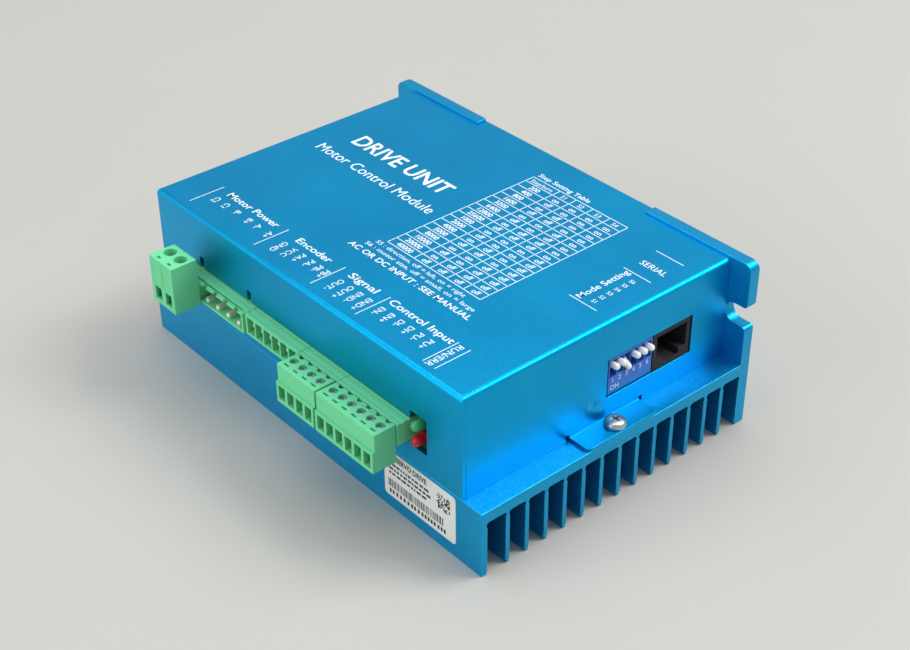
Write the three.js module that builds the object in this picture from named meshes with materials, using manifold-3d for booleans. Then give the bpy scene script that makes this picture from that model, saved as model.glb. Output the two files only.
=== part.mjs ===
// Closed-loop motor drive: a folded sheet cover over one circuit board, on a finned L-shaped heatsink.
// Millimetres, +Z up. The origin is on the plane of the fin tips, under the middle of the heatsink.
// +X is the end with the setting switches, -Y the side with the terminals, +Y the mounting wall.
import * as THREE from 'three';
import { mergeVertices } from 'three/addons/utils/BufferGeometryUtils.js';
import Module from 'manifold-3d';

const wasm = await Module();
wasm.setup();

// ---------------------------------------------------------------- driving dimensions
// A cutting tool runs this far past the face that it opens.
const PAST = 1;

// Heatsink: an aluminium extrusion along X, with fins below and the mounting wall behind.
const LENGTH = 146.5;
const DEPTH = 97.5;
const WALL_HEIGHT = 52;
const WALL = 3.6;
const WALL_CORNER = 2.5;
const BASE_TOP = 20.3;
const BASE_PLATE = 3.6;
const FRONT_SKIRT = 1.75;
const FIN_PITCH = 6.52;
const FIN = 1.0;
const FIN_ROOT_RADIUS = 0.8;
const SLOT_WIDTH = 6.1;
const SLOT_HEIGHT = 35.4;
const SLOT_DEPTH = 7.3;
const SLOT_MOUTH_RADIUS = 1.2;

// Cover: one folded sheet with a screw tab at each end and a hooked tongue over the wall.
const SHEET = 1.0;
const COVER_BELOW_WALL = 0.8;
const COVER_BEND = 1.4;
const LEDGE = 7.05;
const TAB_WIDTH = 25.4;
const TAB_CORNER = 2;
const TAB_SCREW_FROM_COVER = 3.8;
const RELIEF_WIDTH = 1.1;
const RELIEF_HEIGHT = 1.7;
const TONGUE_WIDTH = 69.8;
const LIP_DROP = 9;
const TONGUE_GAP = 0.2;
const CUTOUT_GAP = 0.3;
const CUTOUT_BELOW_BOARD_TOP = 0.5;
const COVER_NOTCH = { left: 1.2, right: 0.6, height: 3.6 };
const REAR_SCREW_SPREAD = 46;
const REAR_SCREW_DROP = 5.2;

// Circuit board and its supports.
const BOARD = 1.6;
const SUPPORT_HEIGHT = 5.7;
const BOARD_MARGIN = 0.4;
const SUPPORT_RADIUS = 2.9;
const SUPPORT_INSET_X = 9;
const SUPPORT_INSET_Y = 14;

// Fasteners.
const M3_THREAD = 1.35;
const M3_HEAD = 3.0;
const M3_HEAD_HEIGHT = 2.1;
const HOLE_CLEARANCE = 0.3;
const THREAD_GAP = 0.15;
const SCREW_TIP_GAP = 0.4;
const TAB_TAP_FLOOR = 0.4;
const SUPPORT_TAP = 3;
const SUPPORT_BORE = 4.2;
const BAR_TAP_FLOOR = 0.6;
const REAR_SCREW_END_GAP = 0.5;
const RECESS_HALF_WIDTH = 0.3;
const PAN_RECESS = { half: 1.5, depth: 1 };
const COUNTERSUNK_RECESS = { half: 1.3, depth: 0.9 };
const COUNTERSUNK_HEAD = 2.7;
const COUNTERSUNK_DEPTH = 1.5;

// A pan head's outline, from its seat to its crown, as shares of its radius and height.
const PAN_OUTLINE = [[1, 0], [1, 0.38], [0.85, 0.71], [0.5, 0.95], [0, 1]];

// Small-pitch terminals: headers on the board and the plugs that push into them.
const PITCH = 3.81;
const HEADER_END = 0.7;
const HEADER_HEIGHT = 6.6;
const HEADER_DEPTH = 9.2;
const HEADER_PROUD = 4.15;
const HEADER_WALL = 0.8;
const HEADER_RIB = 0.6;
const HEADER_BACK = 1.6;
const HEADER_GAP = 0.1;
const ROW_FROM_END = 19.75;
const PIN = 1.0;
const PIN_SETBACK = 1.2;
const PIN_ROOT_WALL = 0.5;
const PLUG_SIDE = 0.3;
const PLUG_DEPTH = 7.4;
const PLUG_STEP = 0.7;
const PLUG_STEP_HEIGHT = 6.5;
const PLUG_HEIGHT = 11.7;
const PLUG_ABOVE_HEADER = 0.1;
const PLUG_BACK_GAP = 0.3;
const FINGER_GAP = 0.25;
const FINGER_END_GAP = 0.5;
const PIN_SOCKET_GAP = 0.2;
const WIRE_HOLE_WIDTH = 2.7;
const WIRE_HOLE_HEIGHT = 4.4;
const WIRE_HOLE_RISE = 1.1;

// Large-pitch terminals for the motor and the supply.
const POWER_PITCH = 5.08;
const POWER_HEADER_END = 0.65;
const POWER_HEADER_PROUD = 4.9;
const POWER_PIN_RISE = 1.6;
const NOTCH_WIDTH = 1.7;
const NOTCH_DEPTH = 1.2;
const POWER_PLUG_SIDE = 0.45;
const POWER_PLUG_DEPTH = 8.3;
const POWER_PLUG_HEIGHT = 14.8;
const POWER_PLUG_DROP = 0.5;
const POWER_PLUG_POLES = 2;
const POWER_WIRE_HOLE_WIDTH = 3;
const POWER_WIRE_HOLE_HEIGHT = 4;
const POWER_WIRE_HOLE_RISE = 1.4;

// Clamps: a captive screw turns and lifts a square cage around the wire.
const CLAMP = {
  screwBack: 2.7, head: 1.15, headHeight: 0.85, headRecess: 0.6, shank: 0.8, hole: 1.3,
  cageWidth: 2.8, cageDepth: 3.2, cageWall: 0.45, cageBottom: 2.8, cageHeight: 4.8, throughCage: 0.6,
  chamberWidth: 3.1, chamberBottom: 2.0, chamberDepth: 5.0, slotWidth: 1.9, slotDepth: 0.6, slotFront: 1.2,
};
const POWER_CLAMP = {
  screwBack: 3.2, head: 1.75, headHeight: 1.4, headRecess: 2.2, shank: 1.2, hole: 1.95,
  cageWidth: 3.8, cageDepth: 4.2, cageWall: 0.6, cageBottom: 1.9, cageHeight: 6.2, throughCage: 0.8,
  chamberWidth: 4.2, chamberBottom: 1.2, chamberDepth: 6.6, slotWidth: 1.6, slotDepth: 0.8, slotFront: 1.0,
};
const HEAD_SLOT = 0.4;
const CAGE_THREAD_GAP = 0.25;
const CHAMBER_BACK_WALL = 0.7;
const HEAD_SEAT_GAP = 0.05;
const TEST_SLOT_DEPTH = 1.5;
const HEAD_SLOT_SHARE = 0.6;

// Setting switches and serial socket behind the window in the +X end.
const WINDOW_Y0 = 0.2;
const WINDOW_BELOW_BOARD_TOP = 0.2;
const WINDOW_HEIGHT = 12.1;
const SWITCH_COUNT = 6;
const SWITCH_PITCH = 2.54;
const SWITCH_END = 0.4;
const SWITCH_DEPTH = 9.5;
const SWITCH_HEIGHT = 11.3;
const SWITCH_RECESS = 0.5;
const SWITCH_FROM_WINDOW = 0.9;
const SWITCH_TO_SOCKET = 0.15;
const SOCKET_TO_WINDOW = 0.41;
const SWITCH_CELL = 2.3;
const LEVER = 1.9;
const LEVER_LENGTH = 5.1;
const LEVER_PIVOT_BACK = 3.1;
const LEVER_PIVOT_RISE = 8.7;
const LEVER_UP = 5;
const LEVER_DOWN = -33;
const LEVER_SET_DOWN = 3;
const CELL_BELOW_PIVOT = 3.4;
const CELL_ABOVE_PIVOT = 1.7;
const CELL_DEPTH = 4.6;
const SOCKET_WIDTH = 14;
const SOCKET_HEIGHT = 11.5;
const SOCKET_DEPTH = 14.5;
const SOCKET_RECESS = 0.3;
const SOCKET_MOUTH_WIDTH = 11.2;
const SOCKET_MOUTH_HEIGHT = 7.2;
const SOCKET_MOUTH_RISE = 3.0;
const SOCKET_MOUTH_DEPTH = 11.5;
const LATCH_WIDTH = 6;
const LATCH_HEIGHT = 1.8;

// Lamp window and lamps.
const LAMP_WINDOW_WIDTH = 5.9;
const LAMP_WINDOW_BELOW_BOARD_TOP = 1.4;
const LAMP_WINDOW_GAP = 0.4;
const LAMP_WINDOW_HEIGHT = 10.8;
const LAMP_RADIUS = 1.5;
const LAMP_RIM = 1.75;
const LAMP_LENGTH = 4.6;
const LAMP_RIM_THICKNESS = 0.9;
const LAMP_PROUD = 2.3;
const LAMP_RISES = { green_lamp: 6.6, red_lamp: 1.9 };

// Parts under the cover.
const CAPACITOR_RADIUS = 10;
const CAPACITOR_HEADROOM = 2.6;
const CAPACITOR_FROM_COVER = 22.2;
const CAPACITOR_SPACING = 22;
const MODULE_WIDTH = 24;
const MODULE_HEIGHT = 15;
const MODULE_THICKNESS = 4;
const MODULE_SPACING = 34;
const MODULE_RISE = 3;
const BAR_HEIGHT = 6;
const BAR_THICKNESS = 2;
const BAR_OVERHANG = 6;

// Rating label on the front of the heatsink.
const LABEL_WIDTH = 28.2;
const LABEL_HEIGHT = 15.2;
const LABEL_THICKNESS = 0.12;
const LABEL_FROM_END = 9.6;
const LABEL_BOTTOM = 4.1;
const LABEL_CORNER = 1.2;

// ---------------------------------------------------------------- derived places
const HALF_LENGTH = LENGTH / 2;
const FRONT = -DEPTH / 2;
const BACK = DEPTH / 2;
const WALL_INNER = BACK - WALL;
const COVER_END = HALF_LENGTH - LEDGE;
const SLOT_X = HALF_LENGTH - SLOT_DEPTH + SLOT_WIDTH / 2;
const COVER_TOP = WALL_HEIGHT - COVER_BELOW_WALL;
const TONGUE_FLOOR = COVER_TOP - SHEET;
const TAB_SCREW_X = COVER_END + TAB_SCREW_FROM_COVER;
const BOARD_BOTTOM = BASE_TOP + SUPPORT_HEIGHT;
const BOARD_TOP = BOARD_BOTTOM + BOARD;
const SUPPORT_X = COVER_END - SHEET - SUPPORT_INSET_X;
const SUPPORT_Y = FRONT + SHEET + SUPPORT_INSET_Y;
const HEADER_TOP = BOARD_TOP + HEADER_HEIGHT;
const ROW_RIGHT = COVER_END - ROW_FROM_END;
const PLUG_TOP = HEADER_TOP + PLUG_ABOVE_HEADER;
const PLUG_BOTTOM = PLUG_TOP - PLUG_HEIGHT;
const PLUG_BACK = FRONT - HEADER_PROUD - PLUG_BACK_GAP;
const FINGER_END = FRONT - HEADER_PROUD + HEADER_DEPTH - HEADER_BACK - FINGER_END_GAP;
const PIN_HEIGHT = BOARD_TOP + HEADER_HEIGHT / 2;
const POWER_PIN_HEIGHT = BOARD_TOP + POWER_PIN_RISE;
const POWER_PLUG_BACK = FRONT - POWER_HEADER_PROUD - PLUG_BACK_GAP;
const POWER_PLUG_BOTTOM = BOARD_TOP - POWER_PLUG_DROP;
const SWITCH_FACE = COVER_END - SWITCH_RECESS;
const SWITCH_Y0 = WINDOW_Y0 + SWITCH_FROM_WINDOW;
const SWITCH_WIDTH = SWITCH_COUNT * SWITCH_PITCH + 2 * SWITCH_END;
const SOCKET_Y0 = SWITCH_Y0 + SWITCH_WIDTH + SWITCH_TO_SOCKET;
const WINDOW_Y1 = SOCKET_Y0 + SOCKET_WIDTH + SOCKET_TO_WINDOW;
const WINDOW_Z0 = BOARD_TOP - WINDOW_BELOW_BOARD_TOP;
const LAMP_X = ROW_RIGHT + LAMP_WINDOW_GAP + LAMP_WINDOW_WIDTH / 2;
const LAMP_WINDOW_Z0 = BOARD_TOP - LAMP_WINDOW_BELOW_BOARD_TOP;

// The header row runs from the lamp window towards -X, in this order.
const HEADERS = [];
let rowEdge = ROW_RIGHT;
for (const [name, poles, pitch, end] of [
  ['control', 6, PITCH, HEADER_END],
  ['signal', 4, PITCH, HEADER_END],
  ['encoder', 6, PITCH, HEADER_END],
  ['power', 6, POWER_PITCH, POWER_HEADER_END],
]) {
  const width = poles * pitch + 2 * end;
  const left = rowEdge - width;
  const poleX = Array.from({ length: poles }, (_, i) => left + end + pitch * (i + 0.5));
  HEADERS.push({ name, poles, pitch, left, right: rowEdge, poleX });
  rowEdge = left - HEADER_GAP;
}
const ROW_LEFT = rowEdge + HEADER_GAP;
const header = Object.fromEntries(HEADERS.map((row) => [row.name, row]));

// ---------------------------------------------------------------- solids
function solid(geometry) {
  geometry.deleteAttribute('normal');
  geometry.deleteAttribute('uv');
  const merged = mergeVertices(geometry, 1e-5);
  const vertProperties = new Float32Array(merged.attributes.position.array);
  const triVerts = new Uint32Array(merged.index.array);
  return new wasm.Manifold(new wasm.Mesh({ numProp: 3, vertProperties, triVerts }));
}

function block(x0, x1, y0, y1, z0, z1) {
  const box = new THREE.BoxGeometry(x1 - x0, y1 - y0, z1 - z0);
  return solid(box.translate((x0 + x1) / 2, (y0 + y1) / 2, (z0 + z1) / 2));
}

// Frames for an extrusion: the outline's own x and y, then the way it is pulled.
const ALONG = {
  x: new THREE.Matrix4().makeBasis(
    new THREE.Vector3(0, 1, 0), new THREE.Vector3(0, 0, 1), new THREE.Vector3(1, 0, 0)),
  y: new THREE.Matrix4().makeBasis(
    new THREE.Vector3(1, 0, 0), new THREE.Vector3(0, 0, 1), new THREE.Vector3(0, -1, 0)),
  z: new THREE.Matrix4(),
};

// Pulls a flat outline along an axis. On y the pull runs from the higher value to the lower one.
function prism(outline, axis, from, to, curveSegments = 6) {
  const depth = Math.abs(to - from);
  const pulled = new THREE.ExtrudeGeometry(outline, { depth, bevelEnabled: false, curveSegments });
  pulled.applyMatrix4(ALONG[axis]);
  const low = Math.min(from, to);
  const start = { x: [low, 0, 0], y: [0, Math.max(from, to), 0], z: [0, 0, low] };
  return solid(pulled.translate(...start[axis]));
}

// A turned piece about a line along z or y; the profile is a list of [radius, place along the line].
function turned(profile, axis, place, segments = 16) {
  const lathe = new THREE.LatheGeometry(profile.map(([r, h]) => new THREE.Vector2(r, h)), segments);
  if (axis === 'z') {
    lathe.rotateX(Math.PI / 2);
  }
  return solid(lathe.translate(...place));
}

function cylinder(radius, from, to, axis, place, segments = 16) {
  return turned([[0, from], [radius, from], [radius, to], [0, to]], axis, place, segments);
}

function roundedRectangle(x0, x1, y0, y1, radius) {
  const outline = new THREE.Shape();
  outline.moveTo(x0 + radius, y0);
  outline.absarc(x1 - radius, y0 + radius, radius, -Math.PI / 2, 0, false);
  outline.absarc(x1 - radius, y1 - radius, radius, 0, Math.PI / 2, false);
  outline.absarc(x0 + radius, y1 - radius, radius, Math.PI / 2, Math.PI, false);
  outline.absarc(x0 + radius, y0 + radius, radius, Math.PI, 1.5 * Math.PI, false);
  return outline;
}

function cut(body, tools) {
  return tools.reduce((rest, tool) => rest.subtract(tool), body);
}

function join(bodies) {
  return bodies.reduce((whole, body) => whole.add(body));
}

// ---------------------------------------------------------------- materials
function finish(color, roughness, metalness) {
  return new THREE.MeshStandardMaterial({ color, roughness, metalness });
}

const LOOK = {
  heatsink: () => finish('#0aa0cc', 0.42, 0.6),
  cover: () => finish('#008fcb', 0.4, 0.6),
  board: () => finish('#1d5a35', 0.5, 0),
  terminal: () => finish('#4fcb86', 0.45, 0),
  steel: () => finish('#c9ccce', 0.25, 1),
  cage: () => finish('#b9b394', 0.35, 1),
  switchBlue: () => finish('#1762cf', 0.4, 0),
  lever: () => finish('#f2f2ef', 0.4, 0),
  socket: () => finish('#121317', 0.5, 0),
  greenLens: () => finish('#1f8f4a', 0.15, 0),
  redLens: () => finish('#a5121c', 0.15, 0),
  label: () => finish('#e9eae6', 0.6, 0),
  capacitor: () => finish('#16181c', 0.4, 0),
  module: () => finish('#1b1b1d', 0.6, 0),
};

const group = new THREE.Group();

function place(name, body, material) {
  const { numProp, vertProperties, triVerts } = body.getMesh();
  if (numProp !== 3) {
    throw new Error(`${name} carries more than positions`);
  }
  const geometry = new THREE.BufferGeometry();
  geometry.setAttribute('position', new THREE.BufferAttribute(vertProperties, 3));
  geometry.setIndex(new THREE.BufferAttribute(triVerts, 1));
  geometry.computeVertexNormals();
  const mesh = new THREE.Mesh(geometry, material);
  mesh.name = name;
  group.add(mesh);
}

// ---------------------------------------------------------------- heatsink
function finCentres() {
  const inner = WALL_INNER - (FRONT + FRONT_SKIRT);
  const count = Math.round(inner / FIN_PITCH) - 1;
  const first = FRONT + FRONT_SKIRT + (inner - (count - 1) * FIN_PITCH) / 2;
  return Array.from({ length: count }, (_, i) => first + i * FIN_PITCH);
}

// Section across the extrusion: y across the outline, z up it.
function heatsinkSection() {
  const roof = BASE_TOP - BASE_PLATE;
  const r = FIN_ROOT_RADIUS;
  const fins = finCentres();
  const section = new THREE.Shape();
  section.moveTo(FRONT, 0);
  section.lineTo(FRONT, BASE_TOP);
  section.lineTo(WALL_INNER, BASE_TOP);
  section.lineTo(WALL_INNER, WALL_HEIGHT);
  section.lineTo(BACK, WALL_HEIGHT);
  section.lineTo(BACK, 0);
  for (let i = fins.length; i >= 0; i -= 1) {
    const right = i === fins.length ? WALL_INNER : fins[i] - FIN / 2;
    const left = i === 0 ? FRONT + FRONT_SKIRT : fins[i - 1] + FIN / 2;
    section.lineTo(right, 0);
    section.absarc(right - r, roof - r, r, 0, Math.PI / 2, false);
    section.absarc(left + r, roof - r, r, Math.PI / 2, Math.PI, false);
    section.lineTo(left, 0);
  }
  return section;
}

// Outline seen from the front: the end slots, the wall's corners and the notch for the tongue.
function heatsinkElevation() {
  const r = SLOT_WIDTH / 2;
  const m = SLOT_MOUTH_RADIUS;
  const c = WALL_CORNER;
  const notch = TONGUE_WIDTH / 2 + TONGUE_GAP;
  const outline = new THREE.Shape();
  outline.moveTo(-HALF_LENGTH, -PAST);
  outline.lineTo(HALF_LENGTH, -PAST);
  outline.absarc(HALF_LENGTH - m, SLOT_HEIGHT - r - m, m, 0, Math.PI / 2, false);
  outline.absarc(SLOT_X, SLOT_HEIGHT, r, 1.5 * Math.PI, Math.PI / 2, true);
  outline.absarc(HALF_LENGTH - m, SLOT_HEIGHT + r + m, m, 1.5 * Math.PI, 2 * Math.PI, false);
  outline.absarc(HALF_LENGTH - c, WALL_HEIGHT - c, c, 0, Math.PI / 2, false);
  outline.lineTo(notch, WALL_HEIGHT);
  outline.lineTo(notch, TONGUE_FLOOR);
  outline.lineTo(-notch, TONGUE_FLOOR);
  outline.lineTo(-notch, WALL_HEIGHT);
  outline.absarc(-HALF_LENGTH + c, WALL_HEIGHT - c, c, Math.PI / 2, Math.PI, false);
  outline.absarc(-HALF_LENGTH + m, SLOT_HEIGHT + r + m, m, Math.PI, 1.5 * Math.PI, false);
  outline.absarc(-SLOT_X, SLOT_HEIGHT, r, Math.PI / 2, -Math.PI / 2, true);
  outline.absarc(-HALF_LENGTH + m, SLOT_HEIGHT - r - m, m, Math.PI / 2, Math.PI, false);
  return outline;
}

// A countersunk screw's outline along y, or its hole's with a gap all round.
function countersunk(gap, start, end) {
  const head = COUNTERSUNK_HEAD + gap;
  const shank = M3_THREAD + gap;
  return [[0, start], [shank, start], [shank, BACK - COUNTERSUNK_DEPTH], [head, BACK], [head, end], [0, end]];
}

function rearScrewPlaces() {
  return [-1, 1].map((side) => [side * REAR_SCREW_SPREAD / 2, 0, COVER_TOP - REAR_SCREW_DROP]);
}

function barScrewPlaces() {
  const x = MODULE_SPACING / 2 + MODULE_WIDTH / 2 + BAR_OVERHANG / 2;
  return [-x, x].map((at) => [at, 0, BOARD_TOP + MODULE_RISE + MODULE_HEIGHT / 2]);
}

function buildHeatsink() {
  const whole = prism(heatsinkSection(), 'x', -HALF_LENGTH, HALF_LENGTH, 3);
  const elevation = prism(heatsinkElevation(), 'y', FRONT - PAST, BACK + PAST, 6);
  const lipHalf = TONGUE_WIDTH / 2 + TONGUE_GAP;
  const lipBottom = COVER_TOP - LIP_DROP - TONGUE_GAP;
  const tools = [block(-lipHalf, lipHalf, BACK - SHEET, BACK + PAST, lipBottom, WALL_HEIGHT + PAST)];
  for (const side of [-1, 1]) {
    const at = [side * TAB_SCREW_X, 0, 0];
    const tapFloor = BASE_TOP - BASE_PLATE + TAB_TAP_FLOOR;
    tools.push(cylinder(M3_THREAD + THREAD_GAP, tapFloor, BASE_TOP + PAST, 'z', at));
    const foot = [side * SUPPORT_X, SUPPORT_Y, 0];
    tools.push(cylinder(M3_THREAD + THREAD_GAP, BASE_TOP - SUPPORT_TAP, BASE_TOP + PAST, 'z', foot));
  }
  for (const at of rearScrewPlaces()) {
    tools.push(turned(countersunk(THREAD_GAP, WALL_INNER - PAST, BACK + PAST), 'y', at));
  }
  for (const at of barScrewPlaces()) {
    tools.push(cylinder(M3_THREAD + THREAD_GAP, WALL_INNER - PAST, BACK - BAR_TAP_FLOOR, 'y', at));
  }
  place('heatsink', cut(whole.intersect(elevation), tools), LOOK.heatsink());
}

// ---------------------------------------------------------------- cover
// The folded box, drawn in by a distance so that the same code gives its outside and its inside.
function coverForm(inset) {
  const r = COVER_BEND - inset;
  const end = COVER_END - inset;
  const top = COVER_TOP - inset;
  const front = FRONT + inset;
  const open = inset > 0 ? PAST : 0;
  const rear = WALL_INNER + open;
  const foot = BASE_TOP - open;
  const side = new THREE.Shape();
  side.moveTo(front, foot);
  side.lineTo(rear, foot);
  side.lineTo(rear, top);
  side.absarc(front + r, top - r, r, Math.PI / 2, Math.PI, false);
  const face = new THREE.Shape();
  face.moveTo(-end, foot);
  face.lineTo(end, foot);
  face.absarc(end - r, top - r, r, 0, Math.PI / 2, false);
  face.absarc(-end + r, top - r, r, Math.PI / 2, Math.PI, false);
  return prism(side, 'x', -end, end, 4).intersect(prism(face, 'y', front, rear, 4));
}

function coverTab(side) {
  const outline = roundedRectangle(
    COVER_END - 3 * TAB_CORNER, HALF_LENGTH, -TAB_WIDTH / 2, TAB_WIDTH / 2, TAB_CORNER);
  const leaf = prism(outline, 'z', BASE_TOP, BASE_TOP + SHEET, 4);
  const outside = block(COVER_END - SHEET, HALF_LENGTH + PAST, -TAB_WIDTH, TAB_WIDTH,
    BASE_TOP, BASE_TOP + SHEET);
  const tab = leaf.intersect(outside);
  return side > 0 ? tab : tab.mirror([1, 0, 0]);
}

function buildCover() {
  const shell = coverForm(0).subtract(coverForm(SHEET));
  const half = TONGUE_WIDTH / 2;
  const tongue = block(-half, half, WALL_INNER - SHEET, BACK, TONGUE_FLOOR, COVER_TOP);
  const lip = block(-half, half, BACK - SHEET, BACK, COVER_TOP - LIP_DROP, COVER_TOP);
  const body = join([shell, tongue, lip, coverTab(1), coverTab(-1)]);
  const tools = [
    block(COVER_END - SHEET - PAST, COVER_END + PAST, WINDOW_Y0, WINDOW_Y1,
      WINDOW_Z0, WINDOW_Z0 + WINDOW_HEIGHT),
    block(ROW_LEFT - CUTOUT_GAP, ROW_RIGHT + CUTOUT_GAP, FRONT - PAST, FRONT + SHEET + PAST,
      BOARD_TOP - CUTOUT_BELOW_BOARD_TOP, HEADER_TOP + CUTOUT_GAP),
    block(ROW_RIGHT, ROW_RIGHT + LAMP_WINDOW_GAP + LAMP_WINDOW_WIDTH, FRONT - PAST, FRONT + SHEET + PAST,
      LAMP_WINDOW_Z0, LAMP_WINDOW_Z0 + LAMP_WINDOW_HEIGHT),
  ];
  const { poleX } = header.power;
  for (const x of [(poleX[0] + poleX[1]) / 2, poleX[5]]) {
    tools.push(block(x - COVER_NOTCH.left, x + COVER_NOTCH.right, FRONT - PAST, FRONT + SHEET + PAST,
      HEADER_TOP, HEADER_TOP + COVER_NOTCH.height));
  }
  for (const side of [-1, 1]) {
    const wallAt = side * (COVER_END - SHEET / 2);
    for (const edge of [-1, 1]) {
      const y = edge * (TAB_WIDTH + RELIEF_WIDTH) / 2;
      tools.push(block(wallAt - SHEET, wallAt + SHEET, y - RELIEF_WIDTH / 2, y + RELIEF_WIDTH / 2,
        BASE_TOP - PAST, BASE_TOP + RELIEF_HEIGHT));
    }
    const hole = [side * TAB_SCREW_X, 0, 0];
    tools.push(cylinder(M3_THREAD + HOLE_CLEARANCE, BASE_TOP - PAST, BASE_TOP + SHEET + PAST, 'z', hole));
  }
  for (const at of rearScrewPlaces()) {
    tools.push(turned(countersunk(THREAD_GAP, WALL_INNER, BACK + PAST), 'y', at));
  }
  place('cover', cut(body, tools), LOOK.cover());
}

// ---------------------------------------------------------------- fasteners
// A pan-head screw whose head bears on `seat` and whose thread reaches down to `tip`.
function panScrew(x, y, seat, tip) {
  const top = seat + M3_HEAD_HEIGHT;
  const head = PAN_OUTLINE.map(([r, h]) => [r * M3_HEAD, seat + h * M3_HEAD_HEIGHT]);
  const { half, depth } = PAN_RECESS;
  const narrow = RECESS_HALF_WIDTH;
  return cut(turned([[0, tip], [M3_THREAD, tip], [M3_THREAD, seat], ...head], 'z', [x, y, 0]), [
    block(x - half, x + half, y - narrow, y + narrow, top - depth, top + PAST),
    block(x - narrow, x + narrow, y - half, y + half, top - depth, top + PAST),
  ]);
}

// A countersunk screw in the mounting wall, its cross recess open to the back.
function rearScrew(at) {
  const [x, , z] = at;
  const { half, depth } = COUNTERSUNK_RECESS;
  const narrow = RECESS_HALF_WIDTH;
  return cut(turned(countersunk(0, WALL_INNER + REAR_SCREW_END_GAP, BACK), 'y', at), [
    block(x - half, x + half, BACK - depth, BACK + PAST, z - narrow, z + narrow),
    block(x - narrow, x + narrow, BACK - depth, BACK + PAST, z - half, z + half),
  ]);
}

function buildFasteners() {
  for (const [name, side] of [['left', -1], ['right', 1]]) {
    const tabTip = BASE_TOP - BASE_PLATE + TAB_TAP_FLOOR + SCREW_TIP_GAP;
    place(`cover_screw_${name}`, panScrew(side * TAB_SCREW_X, 0, BASE_TOP + SHEET, tabTip), LOOK.steel());
    const x = side * SUPPORT_X;
    const at = [x, SUPPORT_Y, 0];
    const studTip = BASE_TOP - SUPPORT_TAP + SCREW_TIP_GAP;
    const foot = cylinder(SUPPORT_RADIUS, BASE_TOP, BOARD_BOTTOM, 'z', at, 6);
    const stud = cylinder(M3_THREAD, studTip, BASE_TOP + PAST, 'z', at);
    const boreFloor = BOARD_BOTTOM - SUPPORT_BORE;
    const bore = cylinder(M3_THREAD + THREAD_GAP, boreFloor, BOARD_BOTTOM + PAST, 'z', at);
    place(`board_support_${name}`, foot.add(stud).subtract(bore), LOOK.steel());
    const boardScrew = panScrew(x, SUPPORT_Y, BOARD_TOP, boreFloor + SCREW_TIP_GAP);
    place(`board_screw_${name}`, boardScrew, LOOK.steel());
  }
  rearScrewPlaces().forEach((at, i) => place(`rear_screw_${i + 1}`, rearScrew(at), LOOK.steel()));
}

// ---------------------------------------------------------------- board
function buildBoard() {
  const edge = SHEET + BOARD_MARGIN;
  const plate = block(-COVER_END + edge, COVER_END - edge, FRONT + edge, WALL_INNER - BOARD_MARGIN,
    BOARD_BOTTOM, BOARD_TOP);
  const holes = [-SUPPORT_X, SUPPORT_X].map((x) => cylinder(
    M3_THREAD + HOLE_CLEARANCE, BOARD_BOTTOM - PAST, BOARD_TOP + PAST, 'z', [x, SUPPORT_Y, 0]));
  place('main_board', cut(plate, holes), LOOK.board());
}

// ---------------------------------------------------------------- terminals
function buildHeaders() {
  for (const { name, pitch, left, right, poleX } of HEADERS) {
    const isPower = name === 'power';
    const front = FRONT - (isPower ? POWER_HEADER_PROUD : HEADER_PROUD);
    const rear = FRONT - HEADER_PROUD + HEADER_DEPTH;
    const body = block(left, right, front, rear, BOARD_TOP, HEADER_TOP);
    const floor = BOARD_TOP + HEADER_WALL;
    const ceiling = HEADER_TOP - HEADER_WALL;
    const tools = [];
    if (isPower) {
      tools.push(block(left + HEADER_WALL, right - HEADER_WALL, front - PAST, rear - HEADER_BACK,
        floor, ceiling));
      for (const x of poleX) {
        tools.push(block(x - NOTCH_WIDTH / 2, x + NOTCH_WIDTH / 2, front - PAST, front + NOTCH_DEPTH,
          ceiling - PAST, HEADER_TOP + PAST));
      }
    } else {
      const cell = (pitch - HEADER_RIB) / 2;
      for (const x of poleX) {
        tools.push(block(x - cell, x + cell, front - PAST, rear - HEADER_BACK, floor, ceiling));
      }
    }
    const pinHeight = isPower ? POWER_PIN_HEIGHT : PIN_HEIGHT;
    const pins = poleX.map((x) => block(x - PIN / 2, x + PIN / 2,
      front + PIN_SETBACK, rear - PIN_ROOT_WALL, pinHeight - PIN / 2, pinHeight + PIN / 2));
    place(`${name}_header`, join([cut(body, tools), ...pins]), LOOK.terminal());
  }
}

// Cuts for one pole at x: the clamp's chamber, the wire hole, the screw hole, the test slot and the pin's
// way. `plug` gives the plug's faces, its clamp and its wire hole.
function poleCuts(x, plug) {
  const { back, bottom, top, front, fingerEnd, pinHeight, clamp, wire } = plug;
  const screwY = back - clamp.screwBack;
  const chamberTop = top - clamp.headRecess - clamp.headHeight - HEAD_SEAT_GAP;
  const chamberBack = back - CHAMBER_BACK_WALL;
  const half = clamp.chamberWidth / 2;
  const slotY = front + clamp.slotFront;
  const socket = PIN / 2 + PIN_SOCKET_GAP;
  const wireZ = bottom + wire.rise;
  return [
    block(x - half, x + half, chamberBack - clamp.chamberDepth, chamberBack,
      bottom + clamp.chamberBottom, chamberTop),
    block(x - wire.width / 2, x + wire.width / 2, front - PLUG_STEP - PAST, chamberBack - PAST,
      wireZ, wireZ + wire.height),
    cylinder(clamp.hole, chamberTop - PAST, top + PAST, 'z', [x, screwY, 0], 12),
    block(x - clamp.slotWidth / 2, x + clamp.slotWidth / 2, slotY, slotY + clamp.slotDepth,
      top - TEST_SLOT_DEPTH, top + PAST),
    block(x - socket, x + socket, chamberBack - PAST, fingerEnd + PAST,
      pinHeight - socket, pinHeight + socket),
  ];
}

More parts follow.
